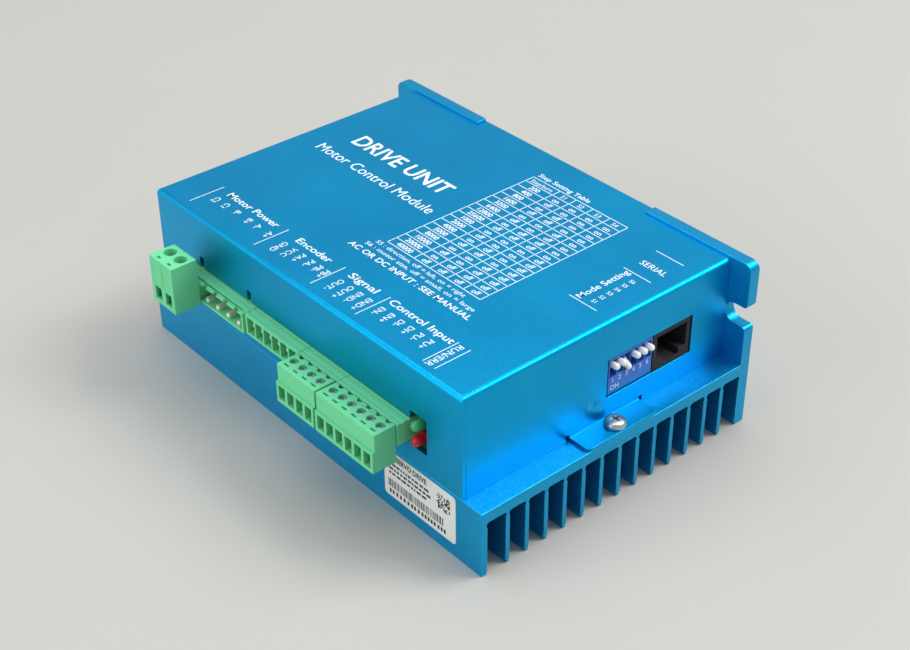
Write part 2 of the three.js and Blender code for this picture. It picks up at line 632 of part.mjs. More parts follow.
function clampScrew(x, y, top, clamp, tip) {
  const headTop = top - clamp.headRecess;
  const seat = headTop - clamp.headHeight;
  const profile = [
    [0, tip], [clamp.shank, tip], [clamp.shank, seat],
    [clamp.head, seat], [clamp.head, headTop], [0, headTop],
  ];
  const slot = block(x - clamp.head - PAST, x + clamp.head + PAST, y - HEAD_SLOT / 2, y + HEAD_SLOT / 2,
    headTop - clamp.headHeight * HEAD_SLOT_SHARE, headTop + PAST);
  return turned(profile, 'z', [x, y, 0], 12).subtract(slot);
}

// Where a clamp's screw ends: a little below the roof of its cage.
function screwTip(bottom, clamp) {
  return bottom + clamp.cageBottom + clamp.cageHeight - clamp.cageWall - clamp.throughCage;
}

function clampCage(x, y, bottom, clamp) {
  const w = clamp.cageWidth / 2;
  const d = clamp.cageDepth / 2;
  const low = bottom + clamp.cageBottom;
  const high = low + clamp.cageHeight;
  const t = clamp.cageWall;
  return cut(block(x - w, x + w, y - d, y + d, low, high), [
    block(x - w + t, x + w - t, y - d - PAST, y + d + PAST, low + t, high - t),
    cylinder(clamp.shank + CAGE_THREAD_GAP, high - 2 * t, high + PAST, 'z', [x, y, 0], 12),
  ]);
}

// The low front edge of the small plugs stands proud of the face above it.
function buildSmallPlug(name) {
  const { left, right, poleX } = header[name];
  const x0 = left + PLUG_SIDE;
  const x1 = right - PLUG_SIDE;
  const face = PLUG_BACK - PLUG_DEPTH + PLUG_STEP;
  const body = join([
    block(x0, x1, face, PLUG_BACK, PLUG_BOTTOM, PLUG_TOP),
    block(x0, x1, face - PLUG_STEP, PLUG_BACK - PAST, PLUG_BOTTOM, PLUG_BOTTOM + PLUG_STEP_HEIGHT),
  ]);
  const cell = (PITCH - HEADER_RIB) / 2 - FINGER_GAP;
  const fingers = poleX.map((x) => block(x - cell, x + cell, PLUG_BACK - PAST, FINGER_END,
    BOARD_TOP + HEADER_WALL + FINGER_GAP, HEADER_TOP - HEADER_WALL - FINGER_GAP));
  const plug = {
    back: PLUG_BACK, bottom: PLUG_BOTTOM, top: PLUG_TOP, front: face, fingerEnd: FINGER_END,
    pinHeight: PIN_HEIGHT, clamp: CLAMP,
    wire: { rise: WIRE_HOLE_RISE, height: WIRE_HOLE_HEIGHT, width: WIRE_HOLE_WIDTH },
  };
  const tools = poleX.flatMap((x) => poleCuts(x, plug));
  place(`${name}_plug`, cut(join([body, ...fingers]), tools), LOOK.terminal());
  const screwY = PLUG_BACK - CLAMP.screwBack;
  const tip = screwTip(PLUG_BOTTOM, CLAMP);
  poleX.forEach((x, i) => {
    place(`${name}_clamp_screw_${i + 1}`, clampScrew(x, screwY, PLUG_TOP, CLAMP, tip), LOOK.steel());
    place(`${name}_clamp_${i + 1}`, clampCage(x, screwY, PLUG_BOTTOM, CLAMP), LOOK.cage());
  });
}

function buildPowerPlug() {
  const poles = header.power.poleX.slice(0, POWER_PLUG_POLES);
  const x0 = poles[0] - POWER_PITCH / 2 - POWER_PLUG_SIDE;
  const x1 = poles[poles.length - 1] + POWER_PITCH / 2 + POWER_PLUG_SIDE;
  const face = POWER_PLUG_BACK - POWER_PLUG_DEPTH;
  const top = POWER_PLUG_BOTTOM + POWER_PLUG_HEIGHT;
  const body = block(x0, x1, face, POWER_PLUG_BACK, POWER_PLUG_BOTTOM, top);
  const inner = header.power.left + HEADER_WALL + FINGER_GAP;
  const tongue = block(inner, x1 - (inner - x0), POWER_PLUG_BACK - PAST, FINGER_END,
    BOARD_TOP + HEADER_WALL + FINGER_GAP, HEADER_TOP - HEADER_WALL - FINGER_GAP);
  const plug = {
    back: POWER_PLUG_BACK, bottom: POWER_PLUG_BOTTOM, top, front: face, fingerEnd: FINGER_END,
    pinHeight: POWER_PIN_HEIGHT, clamp: POWER_CLAMP,
    wire: { rise: POWER_WIRE_HOLE_RISE, height: POWER_WIRE_HOLE_HEIGHT, width: POWER_WIRE_HOLE_WIDTH },
  };
  const tools = poles.flatMap((x) => poleCuts(x, plug));
  place('power_plug', cut(body.add(tongue), tools), LOOK.terminal());
  const screwY = POWER_PLUG_BACK - POWER_CLAMP.screwBack;
  const tip = screwTip(POWER_PLUG_BOTTOM, POWER_CLAMP);
  poles.forEach((x, i) => {
    place(`power_clamp_screw_${i + 1}`, clampScrew(x, screwY, top, POWER_CLAMP, tip), LOOK.steel());
    place(`power_clamp_${i + 1}`, clampCage(x, screwY, POWER_PLUG_BOTTOM, POWER_CLAMP), LOOK.cage());
  });
}

// ---------------------------------------------------------------- switches, socket and lamps
function leverSolid(y, angle) {
  const r = LEVER / 2;
  const bar = new THREE.Shape();
  bar.moveTo(0, -r);
  bar.absarc(LEVER_LENGTH - r, 0, r, -Math.PI / 2, Math.PI / 2, false);
  bar.absarc(0, 0, r, Math.PI / 2, 1.5 * Math.PI, false);
  const pulled = new THREE.ExtrudeGeometry(bar, { depth: LEVER, bevelEnabled: false, curveSegments: 6 });
  pulled.translate(0, 0, -r);
  pulled.rotateX(Math.PI / 2);
  pulled.rotateY(-THREE.MathUtils.degToRad(angle));
  return solid(pulled.translate(SWITCH_FACE - LEVER_PIVOT_BACK, y, BOARD_TOP + LEVER_PIVOT_RISE));
}

function buildSwitches() {
  const pivotZ = BOARD_TOP + LEVER_PIVOT_RISE;
  const body = block(SWITCH_FACE - SWITCH_DEPTH, SWITCH_FACE, SWITCH_Y0, SWITCH_Y0 + SWITCH_WIDTH,
    BOARD_TOP, BOARD_TOP + SWITCH_HEIGHT);
  const centres = Array.from({ length: SWITCH_COUNT },
    (_, i) => SWITCH_Y0 + SWITCH_END + SWITCH_PITCH * (i + 0.5));
  const cells = centres.map((y) => block(SWITCH_FACE - CELL_DEPTH, SWITCH_FACE + PAST,
    y - SWITCH_CELL / 2, y + SWITCH_CELL / 2, pivotZ - CELL_BELOW_PIVOT, pivotZ + CELL_ABOVE_PIVOT));
  place('switch_housing', cut(body, cells), LOOK.switchBlue());
  centres.forEach((y, i) => {
    const angle = i + 1 === LEVER_SET_DOWN ? LEVER_DOWN : LEVER_UP;
    place(`switch_lever_${i + 1}`, leverSolid(y, angle), LOOK.lever());
  });
}

function buildSocket() {
  const face = COVER_END - SOCKET_RECESS;
  const middle = SOCKET_Y0 + SOCKET_WIDTH / 2;
  const mouthZ = BOARD_TOP + SOCKET_MOUTH_RISE;
  const body = block(face - SOCKET_DEPTH, face, SOCKET_Y0, SOCKET_Y0 + SOCKET_WIDTH,
    BOARD_TOP, BOARD_TOP + SOCKET_HEIGHT);
  const half = SOCKET_MOUTH_WIDTH / 2;
  const mouth = block(face - SOCKET_MOUTH_DEPTH, face + PAST, middle - half, middle + half,
    mouthZ, mouthZ + SOCKET_MOUTH_HEIGHT);
  const latch = block(face - SOCKET_MOUTH_DEPTH, face + PAST,
    middle - LATCH_WIDTH / 2, middle + LATCH_WIDTH / 2, mouthZ - LATCH_HEIGHT, mouthZ + PAST);
  place('serial_socket', cut(body, [mouth, latch]), LOOK.socket());
}

function buildLamps() {
  for (const [name, rise] of Object.entries(LAMP_RISES)) {
    const tip = FRONT - LAMP_PROUD;
    const rear = tip + LAMP_LENGTH;
    const dome = [0, 30, 60, 90].map((degrees) => {
      const turn = THREE.MathUtils.degToRad(degrees);
      return [LAMP_RADIUS * Math.sin(turn), tip + LAMP_RADIUS * (1 - Math.cos(turn))];
    });
    const neck = rear - LAMP_RIM_THICKNESS;
    const profile = [...dome, [LAMP_RADIUS, neck], [LAMP_RIM, neck], [LAMP_RIM, rear], [0, rear]];
    const lens = turned(profile, 'y', [LAMP_X, 0, BOARD_TOP + rise]);
    place(name, lens, name === 'red_lamp' ? LOOK.redLens() : LOOK.greenLens());
  }
}

// ---------------------------------------------------------------- parts under the cover
function buildInside() {
  const capacitorTop = TONGUE_FLOOR - CAPACITOR_HEADROOM;
  const face = WALL_INNER - MODULE_THICKNESS;
  const low = BOARD_TOP + MODULE_RISE;
  for (const [i, side] of [[1, -1], [2, 1]]) {
    const at = [CAPACITOR_FROM_COVER - COVER_END, side * CAPACITOR_SPACING / 2, 0];
    const can = cylinder(CAPACITOR_RADIUS, BOARD_TOP, capacitorTop, 'z', at, 24);
    place(`capacitor_${i}`, can, LOOK.capacitor());
    const x = side * MODULE_SPACING / 2;
    const module = block(x - MODULE_WIDTH / 2, x + MODULE_WIDTH / 2,
      face, WALL_INNER, low, low + MODULE_HEIGHT);
    place(`power_module_${i}`, module, LOOK.module());
  }
  const seat = face - BAR_THICKNESS;
  const half = MODULE_SPACING / 2 + MODULE_WIDTH / 2 + BAR_OVERHANG;
  const middle = low + MODULE_HEIGHT / 2;
  const bar = block(-half, half, seat, face, middle - BAR_HEIGHT / 2, middle + BAR_HEIGHT / 2);
  const holes = barScrewPlaces().map((at) => cylinder(
    M3_THREAD + HOLE_CLEARANCE, seat - PAST, face + PAST, 'y', at));
  place('clamp_bar', cut(bar, holes), LOOK.steel());
  const crown = PAN_OUTLINE.map(([r, h]) => [r * M3_HEAD, seat - h * M3_HEAD_HEIGHT]).reverse();
  const tip = BACK - BAR_TAP_FLOOR - SCREW_TIP_GAP;
  barScrewPlaces().forEach((at, i) => {
    const screw = turned([...crown, [M3_THREAD, seat], [M3_THREAD, tip], [0, tip]], 'y', at);
    place(`bar_screw_${i + 1}`, screw, LOOK.steel());
  });
}

function buildLabel() {
  const right = HALF_LENGTH - LABEL_FROM_END;
  const outline = roundedRectangle(
    right - LABEL_WIDTH, right, LABEL_BOTTOM, LABEL_BOTTOM + LABEL_HEIGHT, LABEL_CORNER);
  place('rating_label', prism(outline, 'y', FRONT - LABEL_THICKNESS, FRONT, 4), LOOK.label());
}

buildHeatsink();
buildCover();
buildFasteners();
buildBoard();
buildHeaders();
buildSmallPlug('control');
buildSmallPlug('signal');
buildPowerPlug();
buildSwitches();
buildSocket();
buildLamps();
buildInside();
buildLabel();

export default group;
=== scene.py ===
"""Servo drive: its finished pieces and finishes, and a plain studio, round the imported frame."""

import logging
import math
import random
from contextlib import contextmanager
from dataclasses import dataclass
from enum import Enum
from functools import cache
from typing import Any, Callable, ClassVar, Iterator, Sequence

import bmesh
import bpy
from mathutils import Matrix, Vector


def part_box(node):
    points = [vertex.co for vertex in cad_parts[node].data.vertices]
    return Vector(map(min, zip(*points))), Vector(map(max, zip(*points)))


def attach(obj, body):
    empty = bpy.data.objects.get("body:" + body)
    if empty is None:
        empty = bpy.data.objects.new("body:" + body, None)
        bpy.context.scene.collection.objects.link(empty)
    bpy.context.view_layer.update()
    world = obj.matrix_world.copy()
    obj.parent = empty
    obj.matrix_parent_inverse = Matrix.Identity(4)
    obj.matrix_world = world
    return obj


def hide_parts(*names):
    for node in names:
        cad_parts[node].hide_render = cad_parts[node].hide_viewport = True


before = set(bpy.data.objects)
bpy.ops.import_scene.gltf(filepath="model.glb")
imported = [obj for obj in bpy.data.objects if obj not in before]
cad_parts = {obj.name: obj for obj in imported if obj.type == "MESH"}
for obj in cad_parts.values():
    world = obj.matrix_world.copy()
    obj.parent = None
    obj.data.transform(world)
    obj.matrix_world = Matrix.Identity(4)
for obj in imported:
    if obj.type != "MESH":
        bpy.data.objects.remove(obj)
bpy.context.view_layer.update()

MM = 0.001
QUARTER = math.radians(90)
SMALL_PITCH = 3.81
POWER_PITCH = 5.08
DUST = (205, 205, 200)
LOG = logging.getLogger("servo_drive")
Piece = bpy.types.Object
Tree = bpy.types.NodeTree
Node = bpy.types.Node
Socket = bpy.types.NodeSocket
Place = tuple[float, float, float]
Shade = tuple[int, int, int]


class Slot(Enum):
    """Names of material slots. Each modelled piece is mounted with one, but mount does not use it."""

    HEATSINK = "blue_aluminium"
    COVER = "blue_cover"
    TERMINAL = "terminal_green"
    STEEL = "steel"
    CLAMP = "clamp_metal"
    SWITCH = "switch_blue"
    LEVER = "lever_white"
    SOCKET = "socket_black"
    GREEN_LENS = "green_lens"
    RED_LENS = "red_lens"
    LABEL = "label"


class Reading(Enum):
    """Which way a line of print reads, as the turn of its text."""

    ALONG_X = (0.0, 0.0, 0.0)
    ALONG_Y = (0.0, 0.0, QUARTER)
    TOWARDS_FRONT = (0.0, 0.0, -QUARTER)
    ON_END = (QUARTER, 0.0, QUARTER)
    ON_FRONT = (QUARTER, 0.0, 0.0)


def linear(shade: Shade) -> tuple[float, float, float, float]:
    """Turns a display colour into a linear one.

    Args:
        shade: Red, green and blue from 0 to 255.

    Returns:
        The linear colour with an alpha of one.
    """
    parts = [part / 255 for part in shade]
    flat = [p / 12.92 if p <= 0.04045 else ((p + 0.055) / 1.055) ** 2.4 for p in parts]
    return (flat[0], flat[1], flat[2], 1.0)


def metres(place: Sequence[float]) -> list[float]:
    """Turns a place in millimetres into metres."""
    return [part * MM for part in place]


class Desk:
    """Adds nodes to one tree and joins them."""

    def __init__(self, tree: Tree) -> None:
        """Keeps the tree that the nodes go into."""
        self.tree = tree

    def add(self, kind: str, settings: dict[str, Any] | None = None,
            feeds: dict[Any, Any] | None = None) -> Node:
        """Adds a node, sets it and feeds it.

        Args:
            kind: The node's class name.
            settings: Attributes of the node.
            feeds: Input socket to an output socket or a plain value.

        Returns:
            The new node.
        """
        node = self.tree.nodes.new(kind)
        for name, value in (settings or {}).items():
            setattr(node, name, value)
        for name, value in (feeds or {}).items():
            if isinstance(value, Socket):
                self.tree.links.new(value, node.inputs[name])
            else:
                node.inputs[name].default_value = value
        return node

    def calc(self, operation: str, first: Any, second: Any, clamp: bool = False) -> Any:
        """Adds a Math node.

        Args:
            operation: The node's operation.
            first: Its first socket or value.
            second: Its second socket or value.
            clamp: Whether the result stays between zero and one.

        Returns:
            The result's socket.
        """
        node = self.add("ShaderNodeMath", {"operation": operation, "use_clamp": clamp},
                        {0: first, 1: second})
        return node.outputs[0]

    def blend(self, share: Any, low: Any, high: Any) -> Any:
        """Mixes two colours.

        Args:
            share: How much of the second colour shows.
            low: The first colour.
            high: The second colour.

        Returns:
            The mixed colour's socket.
        """
        node = self.add("ShaderNodeMix", {"data_type": "RGBA"}, {0: share, 6: low, 7: high})
        return node.outputs[2]

    def noise(self, where: Any, scale: Any, detail: float = 3.0) -> Any:
        """Adds a noise texture and returns its value socket."""
        node = self.add("ShaderNodeTexNoise", {}, {"Vector": where, "Scale": scale, "Detail": detail})
        return node.outputs[0]

    def ramp(self, value: Any, low: float, high: float) -> Any:
        """Spreads a value from low..high to 0..1 and returns the result's socket."""
        node = self.add("ShaderNodeMapRange", {"clamp": True},
                        {"Value": value, "From Min": low, "From Max": high})
        return node.outputs[0]


class Effects:
    """The node groups that the finishes share, each built once. Scales are per metre."""

    SPECK_SHARE = 0.4
    WEAR_PATCHES = 700.0
    DUST_FLECKS = 1500.0
    STROKES = 55.0

    @staticmethod
    def start(name: str, values: Sequence[str], outputs: Sequence[str]) -> tuple[Desk, Any, Any]:
        """Opens a new group, whose first input is the place on the surface.

        Args:
            name: The group's name.
            values: The names of its other inputs, which are values.
            outputs: The names of its outputs, which are values.

        Returns:
            The group's desk, its input node's sockets and its output node.
        """
        group = bpy.data.node_groups.new(name, "ShaderNodeTree")
        group.interface.new_socket(name="Vector", in_out="INPUT", socket_type="NodeSocketVector")
        for labels, side in ((values, "INPUT"), (outputs, "OUTPUT")):
            for label in labels:
                group.interface.new_socket(name=label, in_out=side, socket_type="NodeSocketFloat")
        desk = Desk(group)
        return desk, desk.add("NodeGroupInput").outputs, desk.add("NodeGroupOutput")

    @staticmethod
    def end(desk: Desk, out: Node, **results: Any) -> Tree:
        """Joins the results to the group's outputs.

        Args:
            desk: The group's desk.
            out: Its output node.
            results: Each output's name and the socket that feeds it.

        Returns:
            The finished group.
        """
        for label, result in results.items():
            desk.tree.links.new(result, out.inputs[label])
        return desk.tree

    @staticmethod
    @cache
    def surface_grain() -> Tree:
        """Fine grain height and a broad mottle, both from noise.

        Returns:
            The group.
        """
        desk, given, out = Effects.start("surface_grain", ("Grain", "Mottle"), ("Height", "Tone"))
        fine = desk.noise(given["Vector"], given["Grain"], 2.0)
        broad = desk.noise(given["Vector"], given["Mottle"], 4.0)
        specks = desk.add("ShaderNodeTexVoronoi", {"feature": "F1"},
                          {"Vector": given["Vector"], "Scale": given["Grain"]})
        speckle = desk.calc("MULTIPLY", specks.outputs["Distance"], Effects.SPECK_SHARE)
        height = desk.calc("ADD", fine, speckle)
        return Effects.end(desk, out, Height=height, Tone=desk.ramp(broad, 0.3, 0.7))

    @staticmethod
    @cache
    def edge_wear() -> Tree:
        """A mask of the edges, broken up by noise: wear, and a painted highlight along the edges.

        Returns:
            The group.
        """
        desk, given, out = Effects.start("edge_wear", ("Radius", "Amount"), ("Mask",))
        rounded = desk.add("ShaderNodeBevel", {"samples": 4}, {"Radius": given["Radius"]})
        surface = desk.add("ShaderNodeNewGeometry")
        turn = desk.add("ShaderNodeVectorMath", {"operation": "DOT_PRODUCT"},
                        {0: rounded.outputs[0], 1: surface.outputs["Normal"]})
        edge = desk.calc("SUBTRACT", 1.0, turn.outputs["Value"], True)
        patchy = desk.noise(given["Vector"], Effects.WEAR_PATCHES)
        worn = desk.calc("MULTIPLY", desk.ramp(edge, 0.01, 0.16), desk.ramp(patchy, 0.36, 0.6))
        return Effects.end(desk, out, Mask=desk.calc("MULTIPLY", worn, given["Amount"], True))

    @staticmethod
    @cache
    def settled_dust() -> Tree:
        """A mask of fine dust on what faces up.

        Returns:
            The group.
        """
        desk, given, out = Effects.start("settled_dust", ("Amount",), ("Mask",))
        surface = desk.add("ShaderNodeNewGeometry")
        parts = desk.add("ShaderNodeSeparateXYZ", {}, {0: surface.outputs["Normal"]})
        flecks = desk.ramp(desk.noise(given["Vector"], Effects.DUST_FLECKS, 5.0), 0.52, 0.74)
        film = desk.calc("MULTIPLY", desk.ramp(parts.outputs["Z"], 0.2, 1.0), flecks)
        return Effects.end(desk, out, Mask=desk.calc("MULTIPLY", film, given["Amount"], True))

    @staticmethod
    @cache
    def smudge() -> Tree:
        """A roughness that handling has made uneven.

        Returns:
            The group.
        """
        desk, given, out = Effects.start("smudge", ("Base", "Spread"), ("Roughness",))
        centred = desk.calc("SUBTRACT", desk.noise(given["Vector"], Effects.STROKES, 5.0), 0.5)
        shift = desk.calc("MULTIPLY", centred, given["Spread"])
        return Effects.end(desk, out, Roughness=desk.calc("ADD", given["Base"], shift, True))


@dataclass(frozen=True)
class Finish:
    """An opaque finish: its colours, its gloss, how it wears and the painted highlight on its edges. Scales
    are per metre.
    """

    name: str
    colour: Shade
    deep: Shade
    worn: Shade
    roughness: float
    metallic: float = 0.0
    grain: float = 3200.0
    bump: float = 0.25
    mottle: float = 60.0
    wear: float = 0.35
    dust: float = 0.05
    spread: float = 0.12
    wear_radius: float = 0.35
    bump_depth: float = 0.04

    def build(self) -> bpy.types.Material:
        """Makes the material, or finds it if it has been made.

        Returns:
            The material.
        """
        found = bpy.data.materials.get(self.name)
        if found:
            return found
        material = bpy.data.materials.new(self.name)
        material.use_nodes = True
        material.node_tree.nodes.clear()
        desk = Desk(material.node_tree)
        where = desk.add("ShaderNodeTexCoord").outputs["Object"]

        def effect(tree: Tree, **values: float) -> Any:
            """Places a shared group with this finish's values, and returns its outputs."""
            feeds = {"Vector": where, **values}
            return desk.add("ShaderNodeGroup", {"node_tree": tree}, feeds).outputs

        grain = effect(Effects.surface_grain(), Grain=self.grain, Mottle=self.mottle)
        edge = effect(Effects.edge_wear(), Radius=self.wear_radius * MM, Amount=self.wear)
        dust = effect(Effects.settled_dust(), Amount=self.dust)
        gloss = effect(Effects.smudge(), Base=self.roughness, Spread=self.spread)
        tone = desk.blend(grain["Tone"], linear(self.deep), linear(self.colour))
        # Painted edge highlight together with wear: the edge mask lightens the colour towards the light worn
        # colour.
        rubbed_and_highlit = desk.blend(edge["Mask"], tone, linear(self.worn))
        dusty = desk.blend(dust["Mask"], rubbed_and_highlit, linear(DUST))
        bump = desk.add("ShaderNodeBump", {}, {"Height": grain["Height"], "Strength": self.bump,
                                               "Distance": self.bump_depth * MM})
        shader = desk.add("ShaderNodeBsdfPrincipled", {}, {
            "Base Color": self.colouring(desk, where, dusty), "Roughness": gloss["Roughness"],
            "Metallic": self.metallic, "Normal": bump.outputs[0]})
        self.extras(shader)
        desk.add("ShaderNodeOutputMaterial", {}, {"Surface": shader.outputs[0]})
        return material

    def colouring(self, desk: Desk, where: Any, base: Any) -> Any:
        """Returns the base colour's socket, which a special finish changes first."""
        return base

    def extras(self, shader: Node) -> None:
        """Lets a special finish set more of the shader's own sockets."""


@dataclass(frozen=True)
class Lens(Finish):
    """A tinted clear lens that glows faintly and stays clean."""

    bump: float = 0.02
    wear: float = 0.0
    dust: float = 0.0
    glow: float = 0.0
    clearness: float = 0.5
    refraction: float = 1.5

    def extras(self, shader: Node) -> None:
        """Makes the lens part clear and faintly lit."""
        shader.inputs["Transmission Weight"].default_value = self.clearness
        shader.inputs["IOR"].default_value = self.refraction
        shader.inputs["Emission Color"].default_value = linear(self.colour)
        shader.inputs["Emission Strength"].default_value = self.glow


@dataclass(frozen=True)
class Anodised(Finish):
    """Dyed aluminium with painted glints: bright cells in its colour stand for the sparkle of its
    bead-blasted skin.
    """

    sparkle: float = 0.2
    facets: float = 2600.0

    def colouring(self, desk: Desk, where: Any, base: Any) -> Any:
        """Paints small bright glints over the dye, in place of the light that the bead-blasted facets catch.

        Args:
            desk: The material's desk.
            where: The socket of the place on the surface.
            base: The socket of the dye's colour.

        Returns:
            The socket of the colour with its painted glints.
        """
        # Painted glints: voronoi cells lightened towards the light colour, which stand for light on the
        # facets.
        cells = desk.add("ShaderNodeTexVoronoi", {"feature": "F1"}, {"Vector": where, "Scale": self.facets})
        parts = desk.add("ShaderNodeSeparateColor", {}, {0: cells.outputs["Color"]})
        share = desk.calc("MULTIPLY", desk.ramp(parts.outputs[0], 0.8, 1.0), self.sparkle)
        return desk.blend(share, base, linear(self.worn))


# The last setting of each anodised finish sets the strength of its painted glints.
COVER_BLUE = Anodised("cover_blue", (0, 168, 222), (0, 160, 216), (60, 195, 240), 0.42, 0.97,
                      grain=5200, bump=0.16, mottle=24, wear=0.5, dust=0.05, sparkle=0.05)
SINK_BLUE = Anodised("sink_blue", (0, 166, 220), (0, 156, 212), (90, 215, 245), 0.4, 0.85,
                     grain=3600, bump=0.4, mottle=30, wear=0.6, dust=0.06, sparkle=0.22)
TERMINAL_GREEN = Finish("terminal_green", (64, 210, 108), (56, 198, 98), (130, 226, 160), 0.45,
                        grain=2600, bump=0.12, mottle=90, wear=0.3, dust=0.04)
TIN = Finish("tin", (232, 231, 226), (214, 213, 208), (245, 244, 240), 0.3, 0.45, bump=0.15, wear=0.2)
STEEL = Finish("plated_steel", (205, 206, 208), (182, 184, 188), (238, 238, 240), 0.28, 0.95,
               grain=2400, bump=0.12, mottle=300, wear=0.4)
CAGE_METAL = Finish("cage_metal", (150, 148, 138), (124, 122, 112), (186, 184, 172), 0.45, 0.85)
SWITCH_BLUE = Finish("switch_blue", (0, 84, 214), (0, 74, 200), (50, 130, 235), 0.34, bump=0.1)
LEVER_WHITE = Finish("lever_white", (243, 243, 240), (232, 232, 228), (252, 252, 250), 0.3, bump=0.06)
SOCKET_BLACK = Finish("socket_black", (14, 14, 16), (8, 8, 10), (48, 48, 52), 0.4, bump=0.2)
PRINT_WHITE = Finish("print_white", (226, 236, 240), (214, 227, 233), (236, 242, 245), 0.55,
                     bump=0.1, wear=0.0, dust=0.0)
PRINT_BLACK = Finish("print_black", (28, 28, 30), (20, 20, 22), (40, 40, 42), 0.6, wear=0.0, dust=0.0)
LABEL_WHITE = Finish("label_white", (222, 224, 221), (212, 214, 210), (235, 235, 232), 0.4, wear=0.1)
BOARD_GREEN = Finish("board_green", (22, 84, 50), (16, 70, 42), (150, 150, 90), 0.35, bump=0.2)
SLEEVE = Finish("capacitor_sleeve", (30, 30, 36), (22, 22, 28), (60, 60, 66), 0.35)
MODULE_BLACK = Finish("module_black", (32, 32, 34), (24, 24, 26), (66, 66, 68), 0.55)
GREEN_LENS = Lens("green_lens", (8, 100, 46), (6, 84, 36), (120, 220, 150), 0.14, glow=0.02)
RED_LENS = Lens("red_lens", (136, 4, 18), (110, 2, 12), (240, 110, 110), 0.14, glow=0.03)
FLOOR_PALE = Finish("floor_pale", (183, 181, 175), (179, 177, 171), (186, 184, 178), 0.6,
                    grain=900, bump=0.02, mottle=2.0, wear=0.0, dust=0.0)


class Bench:
    """What a maker does with a piece. Sizes and places are in millimetres."""

    MERGE = 0.002
    FLAT = math.radians(0.5)
    SHARP = math.radians(40)
    SMOOTH = math.radians(38)

    @staticmethod
    def only(*pieces: Piece) -> None:
        """Selects these pieces alone, the first one active."""
        bpy.ops.object.select_all(action="DESELECT")
        for piece in pieces:
            piece.select_set(True)
        bpy.context.view_layer.objects.active = pieces[0]

    @staticmethod
    @contextmanager
    def editing(piece: Piece, kind: str = "FACE") -> Iterator[None]:
        """Opens a piece in edit mode with nothing selected.

        Args:
            piece: The piece to edit.
            kind: VERT, EDGE or FACE.
        """
        Bench.only(piece)
        bpy.ops.object.mode_set(mode="EDIT")
        bpy.ops.mesh.select_mode(type=kind)
        bpy.ops.mesh.select_all(action="DESELECT")
        yield
        bpy.ops.object.mode_set(mode="OBJECT")

    @staticmethod
    def pick(piece: Piece, kind: str, test: Callable[[Vector, Vector], bool]) -> None:
        """Selects the parts of a mesh that pass a test, by place and direction.

        Args:
            piece: The piece, in edit mode.
            kind: verts, edges or faces.
            test: Gets the middle, in millimetres, and the normal or edge direction.
        """
        mesh = bmesh.from_edit_mesh(piece.data)
        for part in getattr(mesh, kind):
            if kind == "verts":
                middle, way = part.co, part.normal
            elif kind == "edges":
                first, second = (end.co for end in part.verts)
                middle, way = (first + second) / 2, (second - first).normalized()
            else:
                middle, way = part.calc_center_median(), part.normal
            part.select_set(test(middle / MM, way))
        mesh.select_flush_mode()
        bmesh.update_edit_mesh(piece.data)

    @staticmethod
    def settle(piece: Piece) -> Piece:
        """Puts the piece's place, turn and scale into its mesh."""
        Bench.only(piece)
        bpy.ops.object.transform_apply(location=True, rotation=True, scale=True)
        return piece

    @staticmethod
    def apply(piece: Piece, change: bpy.types.Modifier) -> None:
        """Applies one modifier."""
        Bench.only(piece)
        bpy.ops.object.modifier_apply(modifier=change.name)

    @staticmethod
    def block(low: Sequence[float], high: Sequence[float]) -> Piece:
        """A rectangular block between two corners.

        Args:
            low: Its lowest corner.
            high: Its highest corner.

        Returns:
            The block.
        """
        middle = [(a + b) / 2 * MM for a, b in zip(low, high)]
        size = [(b - a) * MM for a, b in zip(low, high)]
        bpy.ops.mesh.primitive_cube_add(size=1, location=middle, scale=size)
        return Bench.settle(bpy.context.object)

    @staticmethod
    def turned(at: Place, profile: Sequence[tuple[float, float]], sides: int = 32,
               turn: Place = (0.0, 0.0, 0.0)) -> Piece:
        """A lathe-turned shape, drawn up from a disc ring by ring.

        Args:
            at: Where the axis starts.
            profile: Each ring's radius and its height above the start.
            sides: How many sides a ring has.
            turn: The turn of the axis from +Z.

        Returns:
            The closed shape.
        """
        radius, height = profile[0]
        bpy.ops.mesh.primitive_circle_add(vertices=sides, radius=radius * MM, fill_type="NGON",
                                          location=(0, 0, height * MM))
        piece = Bench.settle(bpy.context.object)
        with Bench.editing(piece):
            bpy.ops.mesh.select_all(action="SELECT")
            for wider, higher in profile[1:]:
                bpy.ops.mesh.extrude_region_move(
                    TRANSFORM_OT_translate={"value": (0, 0, (higher - height) * MM)})
                share = wider / radius
                bpy.ops.transform.resize(value=(share, share, 1), center_override=(0, 0, higher * MM))
                radius, height = wider, higher
            bpy.ops.mesh.select_all(action="SELECT")
            bpy.ops.mesh.normals_make_consistent(inside=False)
        piece.location = metres(at)
        piece.rotation_euler = turn
        return Bench.settle(piece)

    @staticmethod
    def repeat(piece: Piece, move: Place) -> Piece:
        """A copy with its own mesh, moved over.

        Args:
            piece: The piece to copy.
            move: How far the copy moves.

        Returns:
            The copy.
        """
        mesh = piece.data.copy()
        mesh.transform(Matrix.Translation(metres(move)))
        copy = bpy.data.objects.new(piece.name, mesh)
        bpy.context.scene.collection.objects.link(copy)
        return copy

    @staticmethod
    def discard(*pieces: Piece) -> None:
        """Throws away tools and masters."""
        for piece in pieces:
            bpy.data.objects.remove(piece, do_unlink=True)

    @staticmethod
    def weld(pieces: Sequence[Piece]) -> Piece:
        """Joins pieces into the first one.

        Args:
            pieces: The pieces.

        Returns:
            The first piece, with all of them in it.
        """
        Bench.only(*pieces)
        if len(pieces) > 1:
            bpy.ops.object.join()
        return pieces[0]

    @staticmethod
    def row(master: Piece, moves: Sequence[Place]) -> Piece:
        """Copies a master to each place, joins the copies and throws the master away.

        Args:
            master: The piece to copy.
            moves: How far each copy moves.

        Returns:
            The joined copies.
        """
        copies = [Bench.repeat(master, move) for move in moves]
        Bench.discard(master)
        return Bench.weld(copies)

